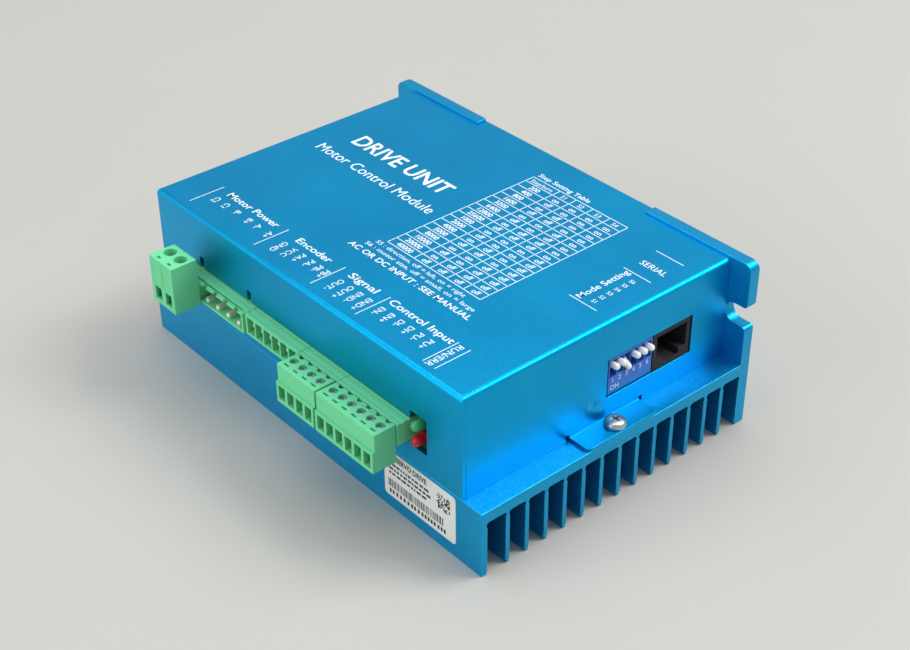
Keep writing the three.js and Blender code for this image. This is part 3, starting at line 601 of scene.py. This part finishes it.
    @staticmethod
    def cut(piece: Piece, tools: Sequence[Piece]) -> Piece:
        """Cuts the tools out of the piece and throws them away.

        Args:
            piece: The piece.
            tools: What is cut out of it.

        Returns:
            The piece.
        """
        tool = Bench.weld(tools)
        change = piece.modifiers.new("cut", "BOOLEAN")
        change.operation = "DIFFERENCE"
        change.solver = "EXACT"
        change.use_self = True
        change.object = tool
        Bench.apply(piece, change)
        Bench.discard(tool)
        return piece

    @staticmethod
    def merge(piece: Piece, flatten: bool) -> None:
        """Merges doubled vertices, and makes flat triangles one face where asked.

        Args:
            piece: The piece.
            flatten: Whether flat triangles are made one face.
        """
        with Bench.editing(piece):
            bpy.ops.mesh.select_all(action="SELECT")
            bpy.ops.mesh.remove_doubles(threshold=Bench.MERGE * MM)
            if flatten:
                bpy.ops.mesh.dissolve_limited(angle_limit=Bench.FLAT)

    @staticmethod
    def copy_of(node: str, flatten: bool = True) -> Piece:
        """A copy of a frame node as one merged mesh, free to be worked on.

        Args:
            node: The frame node.
            flatten: Whether flat triangles are made one face.

        Returns:
            The copy.
        """
        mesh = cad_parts[node].data.copy()
        mesh.materials.clear()
        piece = bpy.data.objects.new(node + "_blank", mesh)
        bpy.context.scene.collection.objects.link(piece)
        Bench.merge(piece, flatten)
        return piece

    @staticmethod
    def soften(piece: Piece, width: float = 0.12, segments: int = 2,
               flatten: bool = True) -> Piece:
        """Rounds the sharp edges and shades the piece smoothly.

        Args:
            piece: The piece.
            width: The width of the rounding.
            segments: How many steps it has.
            flatten: Whether flat triangles are first made one face.

        Returns:
            The piece.
        """
        Bench.merge(piece, flatten)
        change = piece.modifiers.new("soften", "BEVEL")
        change.width = width * MM
        change.segments = segments
        change.limit_method = "ANGLE"
        change.angle_limit = Bench.SHARP
        change.use_clamp_overlap = False
        change.miter_outer = "MITER_ARC"
        Bench.apply(piece, change)
        return Bench.smooth(piece)

    @staticmethod
    def smooth(piece: Piece) -> Piece:
        """Shades round shapes smoothly and keeps flat ones flat.

        Args:
            piece: The piece.

        Returns:
            The piece.
        """
        Bench.only(piece)
        bpy.ops.object.shade_smooth_by_angle(angle=Bench.SMOOTH)
        change = piece.modifiers.new("even", "WEIGHTED_NORMAL")
        change.keep_sharp = True
        Bench.apply(piece, change)
        return piece

    @staticmethod
    def mount(piece: Piece, name: str, finish: Finish, slot: Slot, body: str = "root",
              stands_for: Sequence[str] = ()) -> Piece:
        """Names, finishes and places a piece on its body.

        Args:
            piece: The piece.
            name: Its name.
            finish: Its finish.
            slot: The slot that the finish stands for. Not used.
            body: The body that it rides on.
            stands_for: The frame nodes that it replaces.

        Returns:
            The piece.
        """
        piece.name = name
        piece.data.name = name
        piece.data.materials.clear()
        piece.data.materials.append(finish.build())
        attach(piece, body)
        if stands_for:
            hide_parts(*stands_for)
        LOG.info("%s on %s, %d faces", name, body, len(piece.data.polygons))
        return piece

    @staticmethod
    def dress(node: str, finish: Finish) -> None:
        """Gives a frame node that stays in view its finish.

        Args:
            node: The frame node.
            finish: Its finish.
        """
        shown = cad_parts[node]
        if not shown.material_slots:
            shown.data.materials.append(None)
        for place in shown.material_slots:
            place.material = finish.build()
        LOG.info("%s keeps its shape", node)


@dataclass
class PrintShop:
    """Sets words, lines and tables in thin ink."""

    ink: float = 0.012
    cap_share: float = 0.7
    line_width: float = 0.24

    def word(self, words: str, at: Place, height: float, reading: Reading = Reading.ALONG_X,
             width: float = 0.0, weight: float = 0.0, centred: bool = False) -> Piece:
        """Sets one line of text.

        Args:
            words: The text.
            at: Where its baseline starts, or its middle where it is centred.
            height: The height of its capitals.
            reading: Which way it reads.
            width: The width that it is stretched to, if any.
            weight: How much its strokes swell.
            centred: Whether it is centred.

        Returns:
            The text as a mesh.
        """
        bpy.ops.object.text_add()
        piece = bpy.context.object
        piece.data.body = words
        piece.data.size = height / self.cap_share * MM
        piece.data.extrude = self.ink * MM
        piece.data.offset = weight * MM
        piece.data.resolution_u = 3
        piece.data.align_x = "CENTER" if centred else "LEFT"
        bpy.ops.object.convert(target="MESH")
        piece = bpy.context.object
        if width:
            piece.scale = (width * MM / piece.dimensions.x, 1, 1)
        piece.location = metres(at)
        piece.rotation_euler = reading.value
        return Bench.settle(piece)

    def line(self, start: Place, end: Place) -> Piece:
        """Draws a straight line along one axis of a flat face, as a thin strip.

        Args:
            start: One end.
            end: The other end.

        Returns:
            The line.
        """
        half = self.line_width / 2
        pairs = [(a, b, half if abs(a - b) < half else 0) for a, b in zip(start, end)]
        low, high = [min(a, b) - grow for a, b, grow in pairs], [max(a, b) + grow for a, b, grow in pairs]
        low[2], high[2] = start[2] - self.ink, start[2] + self.ink
        return Bench.block(low, high)


@dataclass
class Heatsink:
    """The finned extrusion, with the fine ribs along its fins."""

    length: float = 146.5
    first_fin: float = -40.045
    fin_pitch: float = 6.52
    fin_count: int = 13
    fin_half: float = 0.5
    rib_foot: float = 1.0
    rib_pitch: float = 0.8
    rib_count: int = 18
    rib_height: float = 0.24
    rib_inset: float = 0.02
    rib_back: float = 0.1
    skirt_face: float = -47.0
    wall_face: float = 45.15

    def rib_strip(self, side: int) -> Piece:
        """A strip of ribs for a face at y 0 that looks to one side.

        Args:
            side: 1 or -1, along Y.

        Returns:
            The strip.
        """
        half = self.length / 2 - self.rib_inset
        top = self.rib_foot + self.rib_pitch * self.rib_count
        faces = sorted((-self.rib_back * side, self.rib_inset * side))
        strip = Bench.block((-half, faces[0], self.rib_foot), (half, faces[1], top))
        with Bench.editing(strip, "EDGE"):
            Bench.pick(strip, "edges", lambda middle, way: abs(way.z) > 0.9)
            bpy.ops.mesh.subdivide(number_cuts=2 * self.rib_count - 1)
            bpy.ops.mesh.select_mode(type="VERT")
            bpy.ops.mesh.select_all(action="DESELECT")
            step = self.rib_pitch / 2
            Bench.pick(strip, "verts", lambda middle, way: middle.y * side > 0
                       and round((middle.z - self.rib_foot) / step) % 2 == 1)
            bpy.ops.transform.translate(value=(0, side * self.rib_height * MM, 0))
        return strip

    def build(self) -> Piece:
        """Rounds the extrusion's edges and sets its ribs on both sides of each gap.

        Returns:
            The heatsink.
        """
        body = Bench.soften(Bench.copy_of("heatsink"), 0.18)
        facing_back, facing_front = self.rib_strip(1), self.rib_strip(-1)
        fins = [self.first_fin + self.fin_pitch * fin for fin in range(self.fin_count)]
        back = [y + self.fin_half for y in fins] + [self.skirt_face]
        front = [y - self.fin_half for y in fins] + [self.wall_face]
        ribs = [Bench.repeat(strip, (0, y, 0)) for strip, rows in ((facing_back, back), (facing_front, front))
                for y in rows]
        Bench.discard(facing_back, facing_front)
        return Bench.weld([body, *ribs])

    def dress(self) -> None:
        """Anodises the heatsink."""
        Bench.mount(self.build(), "heatsink_extrusion", SINK_BLUE, Slot.HEATSINK, stands_for=["heatsink"])


@dataclass
class Cover:
    """The folded sheet cover."""

    end: float = 66.2
    front: float = -48.75
    foot: float = 20.3
    top: float = 51.2
    seam_offset: float = 1.0
    seam_width: float = 0.16
    seam_depth: float = 0.14
    dimple_y: float = -4.9
    dimple_z: float = 27.4

    def build(self) -> Piece:
        """Cuts the corner seams and the press dimple, then rounds the edges.

        Returns:
            The cover.
        """
        sheet = Bench.copy_of("cover", False)
        seam = self.front + self.seam_offset
        tools = []
        for side in (1, -1):
            faces = sorted((side * (self.end - self.seam_depth), side * (self.end + 0.5)))
            tools.append(Bench.block((faces[0], seam, self.foot - 0.5),
                                     (faces[1], seam + self.seam_width, self.top - 1.2)))
        Bench.cut(sheet, tools)
        Bench.cut(sheet, [Bench.turned((self.end - 0.35, self.dimple_y, self.dimple_z),
                                       ((0.6, 0.14), (1.3, 0.22), (1.75, 0.36), (1.8, 0.8)),
                                       24, (0, QUARTER, 0))])
        return Bench.soften(sheet, 0.06, 1, False)

    def dress(self) -> None:
        """Anodises the cover."""
        Bench.mount(self.build(), "cover_sheet", COVER_BLUE, Slot.COVER, stands_for=["cover"])


@dataclass
class TopPrint:
    """The white print on the cover: headings, pin names and the setting table."""

    shop: ClassVar[PrintShop] = PrintShop()
    level: float = 51.214
    heading_y: float = -36.2
    heading_height: float = 2.4
    pin_y: float = -38.2
    pin_height: float = 1.8
    divider_top: float = -34.0
    divider_foot: float = -45.6
    dividers: tuple[float, ...] = (-53.9, -22.8, 2.5, 21.4, 48.0, 52.4)
    table_left: float = -0.3
    table_right: float = 37.2
    table_top: float = 36.0
    table_foot: float = -17.6
    table_rows: int = 16
    number_column: float = 11.0
    base_share: float = 0.78
    steps: tuple[int, ...] = (200, 400, 800, 1600, 3200, 6400, 12800, 25600,
                              1000, 2000, 4000, 5000, 8000, 10000, 20000, 40000)
    switch_names: int = 6
    switch_pitch: float = 2.75

    def word(self, words: str, x: float, y: float, height: float, **style: Any) -> Piece:
        """Sets words on the top face."""
        return self.shop.word(words, (x, y, self.level), height, **style)

    def line(self, start: tuple[float, float], end: tuple[float, float]) -> Piece:
        """Draws a line on the top face."""
        return self.shop.line((*start, self.level), (*end, self.level))

    def titles(self) -> list[Piece]:
        """The two large lines."""
        return [self.word("DRIVE UNIT", -52, 9.5, 5.9, width=41.5, weight=0.14),
                self.word("Motor Control Module", -56.5, -0.3, 3.9, width=51.7)]

    def terminals(self) -> list[Piece]:
        """Headings, pin names and dividers above the terminals.

        Returns:
            The words and lines.
        """
        rows = (
            ("Motor Power", -49.8, 23.3, (("C2", -50.3), ("C1", -45.8), ("B-", -40.6), ("B+", -34.9),
                                         ("A-", -30.6), ("A+", -25.4))),
            ("Encoder", -17.3, 14.7, (("GND", -18.4), ("VCC", -14.2), ("PA+", -10.4), ("PA-", -6.4),
                                      ("PB-", -2.8), ("PB+", 0.2))),
            ("Signal", 5.9, 11.2, (("OUT-", 6.3), ("OUT+", 10.4), ("END-", 14.2), ("END+", 18.0))),
            ("Control Input", 22.6, 24.4, (("EN-", 23.3), ("EN+", 27.1), ("DI-", 30.9), ("DI+", 34.7),
                                           ("PU-", 38.5), ("PU+", 42.3))),
        )
        parts = [self.word("RUN/ERR", 48.9, -34.4, 2.0, reading=Reading.TOWARDS_FRONT)]
        for heading, left, width, pins in rows:
            parts.append(self.word(heading, left, self.heading_y, self.heading_height, width=width,
                                   weight=0.03))
            parts += [self.word(name, x, self.pin_y, self.pin_height, reading=Reading.TOWARDS_FRONT)
                      for name, x in pins]
        return parts + [self.line((x, self.divider_top), (x, self.divider_foot)) for x in self.dividers]

    def table(self) -> list[Piece]:
        """The setting table with its title and notes.

        Returns:
            The words and lines.
        """
        left, right, top, foot = self.table_left, self.table_right, self.table_top, self.table_foot
        row = (top - foot) / (self.table_rows + 1)
        split = (right - left - self.number_column) / 4
        edges = [left + self.number_column + split * k for k in range(5)]
        base = top - row * self.base_share
        parts = [self.word("Step Setting Table", 0.0, 37.2, 1.8, width=20.5, weight=0.02),
                 self.word("Step/turn", left + 1.0, base, 1.6)]
        parts += [self.line((left, top - row * k), (right, top - row * k))
                  for k in range(self.table_rows + 2)]
        parts += [self.line((x, foot), (x, top)) for x in (left, *edges)]
        parts += [self.word(f"S{k + 1}", edges[k] + split / 2, base, 1.6, centred=True) for k in range(4)]
        masters = [self.word(name, 0, 0, 1.7, weight=0.03, centred=True) for name in ("on", "off")]
        for k, count in enumerate(self.steps):
            line = base - row * (k + 1)
            parts.append(self.word(str(count), left + self.number_column / 2, line, 1.7, weight=0.04,
                                   centred=True))
            parts += [Bench.repeat(masters[(k >> bit) & 1], (edges[bit] + split / 2, line, 0))
                      for bit in range(4)]
        Bench.discard(*masters)
        notes = (("S5 : direction, off = left, on = right", -2.5, -20.2, 1.45, 36.0, 0.0),
                 ("S6 : motor size, off = small, on = large", -4.0, -22.7, 1.45, 44.0, 0.0),
                 ("AC OR DC INPUT : SEE MANUAL", -6.8, -26.2, 2.0, 49.0, 0.03))
        return parts + [self.word(words, x, y, height, width=width, weight=weight)
                        for words, x, y, height, width, weight in notes]

    def switches(self) -> list[Piece]:
        """The words beside the switches and the socket.

        Returns:
            The words and lines.
        """
        parts = [self.word("Mode Setting", 53.6, 1.9, 2.1, reading=Reading.ALONG_Y, width=18.0,
                           weight=0.02), self.word("SERIAL", 51.5, 25.3, 2.2, width=8.9)]
        parts += [self.line((50.5, y), (60.3, y)) for y in (1.1, 20.8, 33.2)]
        return parts + [self.word(f"S{k + 1}", 56.0, 3.1 + self.switch_pitch * k, 1.35)
                        for k in range(self.switch_names)]

    def dress(self) -> None:
        """Sets all the print, joins it and inks it white."""
        parts = self.titles() + self.terminals() + self.table() + self.switches()
        Bench.mount(Bench.weld(parts), "top_print", PRINT_WHITE, Slot.LABEL)


@dataclass
class TerminalRow:
    """What a header and a plug share: a name, a first pole and a pitch."""

    name: str
    first_pole: float
    poles: int
    pitch: float = SMALL_PITCH

    def pole_places(self) -> list[float]:
        """The x of each pole."""
        return [self.first_pole + self.pitch * k for k in range(self.poles)]


@dataclass
class Header(TerminalRow):
    """One row of pins in its green shroud, on the board."""

    top: float = 34.2
    front: float = -52.9
    rear: float = -43.7
    groove_half: float = 0.22
    groove_depth: float = 0.3
    grooves: tuple[float, ...] = (1.5, 3.6)
    pin_half: float = 0.56
    pin_level: float = 30.9
    pin_inset: float = 1.3
    pin_tip: float = 0.35
    pin_taper: float = 0.55
    tab_half: float = 0.62
    tabs: bool = False

    def build(self) -> Piece:
        """Cuts the ridges along the top, and adds the tabs between open cells.

        Returns:
            The shroud.
        """
        node = f"{self.name}_header"
        left, right = (corner.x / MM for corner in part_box(node))
        shroud = Bench.cut(Bench.copy_of(node), [
            Bench.block((left - 1, self.front + inset - self.groove_half, self.top - self.groove_depth),
                        (right + 1, self.front + inset + self.groove_half, self.top + 1))
            for inset in self.grooves])
        Bench.soften(shroud, 0.14)
        ribs = [x - self.pitch / 2 for x in self.pole_places()[1:] if self.tabs]
        extras = [Bench.soften(Bench.block(
            (x - self.tab_half, self.front - 0.04, self.top - 1.15),
            (x + self.tab_half, self.front + 0.8, self.top - self.tab_half)), 0.08) for x in ribs]
        return Bench.weld([shroud, *extras])

    def pins(self) -> Piece:
        """The tinned pins, each with a tapered tip.

        Returns:
            The row of pins.
        """
        low, tip, half = self.front + self.pin_inset, self.pin_tip, self.pin_half
        pin = Bench.block((-half, low, -half), (half, self.rear, half))
        with Bench.editing(pin):
            Bench.pick(pin, "faces", lambda middle, way: way.y < -0.9)
            bpy.ops.mesh.extrude_region_move(TRANSFORM_OT_translate={"value": (0, -tip * MM, 0)})
            bpy.ops.transform.resize(value=(self.pin_taper, 1, self.pin_taper),
                                     center_override=(0, (low - tip) * MM, 0))
        Bench.soften(pin, 0.08)
        return Bench.row(pin, [(x, 0, self.pin_level) for x in self.pole_places()])

    def dress(self) -> None:
        """Builds and mounts the shroud and its pins."""
        Bench.mount(self.build(), f"{self.name}_shroud", TERMINAL_GREEN, Slot.TERMINAL,
                    stands_for=[f"{self.name}_header"])
        Bench.mount(self.pins(), f"{self.name}_pins", TIN, Slot.CLAMP)


@dataclass
class Plug(TerminalRow):
    """A plug-in screw terminal with its clamp screws."""

    screw_y: float = -55.9
    screw_radius: float = 1.15
    screw_top: float = 33.7
    screw_head: float = 0.85
    screw_foot: float = 29.15
    shank: float = 0.8
    slot_half: float = 0.2
    slot_depth: float = 0.4
    groove_half: float = 0.1
    groove_depth: float = 0.2
    panel_half: float = 2.0
    panel_depth: float = 0.14
    scallop: float = 0.95
    tall: bool = False

    def build(self) -> Piece:
        """Cuts the scallops of the rear edge, or the panels of a tall plug's face.

        Returns:
            The housing.
        """
        low, high = (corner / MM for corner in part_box(f"{self.name}_plug"))
        if self.tall:
            seam = self.first_pole + self.pitch / 2
            tools = [Bench.block((seam - self.groove_half, low.y - 1, low.z + 6.0),
                                 (seam + self.groove_half, low.y + self.groove_depth, high.z + 1))]
            tools += [Bench.block((x - self.panel_half, low.y - 1, low.z + 6.2),
                                  (x + self.panel_half, low.y + self.panel_depth, high.z - 2.2))
                      for x in self.pole_places()]
        else:
            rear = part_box(f"{self.name}_header")[0].y / MM
            tools = [Bench.turned((x, rear - 0.3, 0),
                                  ((self.scallop, high.z - 1.1), (self.scallop, high.z + 1)), 20)
                     for x in self.pole_places()]
        housing = Bench.cut(Bench.copy_of(f"{self.name}_plug", self.tall), tools)
        return Bench.soften(housing, 0.1, flatten=self.tall)

    def screw(self) -> Piece:
        """One slotted screw with its axis at x 0 and y 0.

        Returns:
            The screw.
        """
        top, radius = self.screw_top, self.screw_radius
        under = top - self.screw_head
        body = Bench.turned((0, 0, 0), ((self.shank, self.screw_foot), (self.shank, under),
                                        (radius * 0.94, under), (radius, under + 0.1),
                                        (radius, top - 0.14), (radius * 0.86, top)), 28)
        width = radius + 0.5
        Bench.cut(body, [Bench.block((-width, -self.slot_half, top - self.slot_depth),
                                     (width, self.slot_half, top + 1))])
        return Bench.soften(body, 0.04, 1)

    def dress(self) -> None:
        """Builds and mounts the housing and its screws, and finishes the cages."""
        body = f"{self.name}_plug"
        Bench.mount(self.build(), f"{self.name}_housing", TERMINAL_GREEN, Slot.TERMINAL, body, [body])
        master = self.screw()
        for k, x in enumerate(self.pole_places(), 1):
            node = f"{self.name}_clamp_screw_{k}"
            Bench.mount(Bench.repeat(master, (x, self.screw_y, 0)), f"{self.name}_screw_{k}", STEEL,
                        Slot.STEEL, node, [node])
            Bench.dress(f"{self.name}_clamp_{k}", CAGE_METAL)
        Bench.discard(master)


@dataclass
class SwitchBank:
    """Six piano levers in a blue housing, with its numbers."""

    face: float = 65.7
    first_lever: float = 2.77
    pitch: float = 2.54
    levers: int = 6
    pivot_x: float = 62.6
    pivot_z: float = 36.3
    lever_radius: float = 0.95
    lever_length: float = 5.1
    up: float = 5.0
    down: float = -33.0
    down_lever: int = 2

    def build(self) -> Piece:
        """Rounds the housing's edges."""
        return Bench.soften(Bench.copy_of("switch_housing"), 0.1)

    def numbers(self) -> Piece:
        """The numbers under the levers and the word at the first one.

        Returns:
            The print.
        """
        shop = PrintShop()
        out = self.face + 0.014
        parts = [shop.word(str(k + 1), (out, self.first_lever + self.pitch * k, 31.0), 1.45,
                           Reading.ON_END, centred=True) for k in range(self.levers)]
        parts.append(shop.word("ON", (out, 1.9, 28.7), 1.45, Reading.ON_END))
        return Bench.weld(parts)

    def dress(self) -> None:
        """Mounts the housing, the numbers and the levers."""
        Bench.mount(self.build(), "switch_body", SWITCH_BLUE, Slot.SWITCH, stands_for=["switch_housing"])
        Bench.mount(self.numbers(), "switch_numbers", PRINT_WHITE, Slot.LABEL)
        for k in range(self.levers):
            node = f"switch_lever_{k + 1}"
            lever = self.lever(self.first_lever + self.pitch * k,
                               self.down if k == self.down_lever else self.up)
            Bench.mount(lever, f"lever_{k + 1}", LEVER_WHITE, Slot.LEVER, node, [node])

    def lever(self, y: float, tilt: float) -> Piece:
        """One round lever, from its hub to its domed end.

        Args:
            y: Its place along the bank.
            tilt: How far it stands above the level, in degrees.

        Returns:
            The lever.
        """
        r, tip = self.lever_radius, self.lever_length
        profile = ((r * 0.5, -r), (r * 0.85, -r * 0.7), (r, -r * 0.2), (r * 0.94, tip * 0.5),
                   (r, tip - r), (r * 0.92, tip - r * 0.55), (r * 0.7, tip - r * 0.2),
                   (r * 0.36, tip))
        return Bench.smooth(Bench.turned((self.pivot_x, y, self.pivot_z), profile, 24,
                                         (0, math.radians(90 - tilt), 0)))


@dataclass
class SerialSocket:
    """The black data socket with its sprung contacts."""

    face: float = 65.9
    middle: float = 24.29
    mouth_top: float = 37.8
    drop: float = 0.35
    slope: float = 2.6
    contacts: int = 6
    pitch: float = 1.02

    def build(self) -> Piece:
        """Rounds the shell's edges."""
        return Bench.soften(Bench.copy_of("serial_socket"), 0.1)

    def springs(self) -> Piece:
        """The row of contact wires, which slope down into the mouth.

        Returns:
            The wires.
        """
        wire = Bench.block((self.face - 10.6, -0.18, -0.15), (self.face - 2.6, 0.18, 0.15))
        with Bench.editing(wire):
            Bench.pick(wire, "faces", lambda middle, way: way.x < -0.9)
            bpy.ops.transform.translate(value=(0, 0, -self.slope * MM))
        Bench.soften(wire, 0.05)
        start = self.middle - self.pitch * (self.contacts - 1) / 2
        return Bench.row(wire, [(0, start + self.pitch * k, self.mouth_top - self.drop)
                                for k in range(self.contacts)])

    def dress(self) -> None:
        """Mounts the shell and its contacts."""
        Bench.mount(self.build(), "socket_shell", SOCKET_BLACK, Slot.SOCKET, stands_for=["serial_socket"])
        Bench.mount(self.springs(), "socket_contacts", TIN, Slot.CLAMP)


@dataclass
class StatusLamps:
    """The green lamp over the red one."""

    def dress(self) -> None:
        """Shades both lamps smoothly and mounts them."""
        for node, finish, slot in (("green_lamp", GREEN_LENS, Slot.GREEN_LENS),
                                   ("red_lamp", RED_LENS, Slot.RED_LENS)):
            piece = Bench.smooth(Bench.copy_of(node))
            Bench.mount(piece, f"{node}_lens", finish, slot, stands_for=[node])


@dataclass
class Fasteners:
    """The machine screws. The two on the cover's tabs are cross-recessed pan heads."""

    shank: float = 1.4
    head_height: float = 2.0
    recess: float = 0.42
    recess_reach: float = 1.5
    recess_depth: float = 1.3

    def pan_head(self, node: str) -> Piece:
        """A pan head and its shank, on the frame node's axis.

        Args:
            node: The frame node that it stands for.

        Returns:
            The screw.
        """
        low, high = (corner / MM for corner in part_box(node))
        x, y = (low.x + high.x) / 2, (low.y + high.y) / 2
        radius, top = (high.x - low.x) / 2, high.z
        under = top - self.head_height
        profile = ((self.shank, low.z), (self.shank, under), (radius * 0.97, under), (radius, under + 0.15),
                   (radius, under + 0.7), (radius * 0.95, top - 0.75), (radius * 0.82, top - 0.35),
                   (radius * 0.6, top - 0.1), (radius * 0.3, top))
        screw = Bench.turned((x, y, 0), profile, 40)
        reach, half, deep = self.recess_reach, self.recess / 2, top - self.recess_depth
        arms = [Bench.block((x - reach, y - half, deep), (x + reach, y + half, top + 1)),
                Bench.block((x - half, y - reach, deep), (x + half, y + reach, top + 1))]
        arms.append(Bench.turned((x, y, 0), ((0.25, deep - 0.3), (0.62, top - 0.4), (0.8, top + 1)), 16))
        Bench.cut(screw, arms)
        return Bench.soften(screw, 0.05, 1)

    def dress(self) -> None:
        """Mounts the tab screws and finishes the hidden ones."""
        for side in ("left", "right"):
            node = f"cover_screw_{side}"
            Bench.mount(self.pan_head(node), f"tab_screw_{side}", STEEL, Slot.STEEL, stands_for=[node])
        for node in ("rear_screw_1", "rear_screw_2", "bar_screw_1", "bar_screw_2",
                     "board_screw_left", "board_screw_right"):
            Bench.dress(node, STEEL)


@dataclass
class RatingLabel:
    """The white foil on the front skirt, with plain bars and squares for its print."""

    left: float = 35.45
    right: float = 63.65
    foot: float = 4.1
    top: float = 19.3
    face: float = -48.87
    seed: int = 7
    cell: float = 0.46
    cells: int = 11
    dark_share: float = 0.52
    type_rows: int = 3
    type_pitch: float = 1.5
    type_height: float = 0.72
    margin: float = 2.0
    ink: float = 0.012

    def build(self) -> Piece:
        """The foil itself."""
        return Bench.soften(Bench.copy_of("rating_label"), 0.03, 1)

    def bar(self, x: float, z: float, width: float, height: float) -> Piece:
        """One printed bar, from its lower left corner."""
        return Bench.block((x, self.face - self.ink, z), (x + width, self.face + self.ink, z + height))

    def prints(self) -> Piece:
        """Rows of bars like lines of small type, a striped code and a square one.

        Returns:
            The print.
        """
        draw = random.Random(self.seed)
        parts = [PrintShop().word("SERVO DRIVE", (self.left + 5.0, self.face - 0.014, self.top - 2.6), 1.6,
                                  Reading.ON_FRONT, width=12.0, weight=0.06)]
        for row in range(self.type_rows):
            x, z = self.left + self.margin, self.top - 4.6 - self.type_pitch * row
            while x < self.left + 17.0:
                width = draw.uniform(0.5, 1.9)
                parts.append(self.bar(x, z, width, self.type_height))
                x += width + draw.uniform(0.3, 0.6)
        x = self.left + 1.6
        while x < self.right - 5.0:
            width = draw.choice((0.14, 0.24, 0.38))
            parts.append(self.bar(x, self.foot + 3.2, width, 2.6))
            x += width + draw.choice((0.16, 0.26, 0.4))
        x = self.left + self.margin
        while x < self.right - 4.0:
            parts.append(self.bar(x, self.foot + 1.2, 0.75, 1.3))
            x += draw.choice((1.2, 1.5))
        corner = self.right - 7.2, self.top - 7.0
        for row in range(self.cells):
            for column in range(self.cells):
                if draw.random() < self.dark_share:
                    parts.append(self.bar(corner[0] + column * self.cell, corner[1] + row * self.cell,
                                          self.cell, self.cell))
        return Bench.weld(parts)

    def dress(self) -> None:
        """Mounts the foil and its print."""
        Bench.mount(self.build(), "label_foil", LABEL_WHITE, Slot.LABEL, stands_for=["rating_label"])
        Bench.mount(self.prints(), "label_print", PRINT_BLACK, Slot.LABEL)


@dataclass
class Interior:
    """What stands on the board inside, which keeps the frame's shapes."""

    finishes: ClassVar[dict[str, Finish]] = {
        "main_board": BOARD_GREEN, "capacitor_1": SLEEVE, "capacitor_2": SLEEVE,
        "power_module_1": MODULE_BLACK, "power_module_2": MODULE_BLACK, "clamp_bar": STEEL,
        "board_support_left": STEEL, "board_support_right": STEEL,
    }

    def dress(self) -> None:
        """Finishes each node."""
        for node, finish in self.finishes.items():
            Bench.dress(node, finish)


@dataclass
class Studio:
    """The floor, the light and the camera."""

    eye: Place = (299.11, -249.83, 283.58)
    back: Place = (0.62689, -0.53563, 0.56579)
    roll: float = -0.366
    lens: float = 65.30
    sensor: float = 36.0
    aim: Place = (0.0, 0.0, 0.03)
    floor_size: float = 8.0
    sky: tuple[float, ...] = (0.86, 0.9, 0.95, 1.0)
    sky_strength: float = 0.5

    def floor(self) -> None:
        """Lays a plain pale floor."""
        bpy.ops.mesh.primitive_plane_add(size=self.floor_size, location=(0, 0, 0))
        sheet = bpy.context.object
        sheet.name = "floor"
        sheet.data.materials.append(FLOOR_PALE.build())

    def panel(self, name: str, at: Place, size: float, power: float, tint: Place) -> None:
        """Hangs a soft square light that looks at the drive.

        Args:
            name: Its name.
            at: Its place in metres.
            size: Its side in metres.
            power: Its power in watts.
            tint: Its colour.
        """
        light = bpy.data.lights.new(name, "AREA")
        light.size = size
        light.energy = power
        light.color = tint
        lamp = bpy.data.objects.new(name, light)
        lamp.location = at
        lamp.rotation_euler = (Vector(at) - Vector(self.aim)).to_track_quat("Z", "Y").to_euler()
        bpy.context.scene.collection.objects.link(lamp)

    def lights(self) -> None:
        """A soft key from behind on the +X side, a broad top light and a fill from the front."""
        self.panel("key", (0.55, 0.75, 1.15), 0.7, 15.0, (1.0, 0.98, 0.95))
        self.panel("top", (-0.2, 0.1, 1.5), 1.6, 12.0, (0.97, 0.99, 1.0))
        self.panel("fill", (-0.4, -1.3, 0.55), 1.2, 11.0, (1.0, 1.0, 1.0))
        world = bpy.data.worlds.new("studio")
        bpy.context.scene.world = world
        world.use_nodes = True
        sky = world.node_tree.nodes["Background"]
        sky.inputs["Color"].default_value = self.sky
        sky.inputs["Strength"].default_value = self.sky_strength

    def camera(self) -> None:
        """Sets the camera from its place, its axis and its roll."""
        back = Vector(self.back).normalized()
        right = Vector((0, 0, 1)).cross(back).normalized()
        up = back.cross(right)
        turn = math.radians(self.roll)
        across = right * math.cos(turn) + up * math.sin(turn)
        upright = up * math.cos(turn) - right * math.sin(turn)
        data = bpy.data.cameras.new("camera")
        data.lens = self.lens
        data.sensor_width = self.sensor
        data.clip_start = 0.01
        view = bpy.data.objects.new("camera", data)
        view.matrix_world = Matrix((across, upright, back)).transposed().to_4x4()
        view.location = metres(self.eye)
        bpy.context.scene.collection.objects.link(view)
        bpy.context.scene.camera = view

    def build(self) -> None:
        """Sets up the whole studio, with colours shown as they are."""
        bpy.context.scene.view_settings.view_transform = "Standard"
        self.floor()
        self.lights()
        self.camera()


def main() -> None:
    """Builds the drive's sub-assemblies in order."""
    logging.basicConfig(level=logging.INFO, format="%(name)s: %(message)s")
    Studio().build()
    for part in (Heatsink, Cover, TopPrint):
        part().dress()
    control, signal, encoder, power = 24.795, 8.055, -16.305, -47.6
    Header("control", control, 6).dress()
    Header("signal", signal, 4).dress()
    Header("encoder", encoder, 6, tabs=True).dress()
    Header("power", power, 6, POWER_PITCH, front=-53.65, pin_half=0.72, pin_level=29.2,
           pin_inset=0.7).dress()
    Plug("control", control, 6).dress()
    Plug("signal", signal, 4).dress()
    Plug("power", power, 2, POWER_PITCH, screw_y=-57.15, screw_radius=1.75, screw_top=39.7,
         screw_head=1.4, screw_foot=33.8, shank=1.2, slot_half=0.28, slot_depth=0.6, tall=True).dress()
    for part in (SwitchBank, SerialSocket, StatusLamps, Fasteners, RatingLabel, Interior):
        part().dress()


if __name__ == "__main__":
    main()
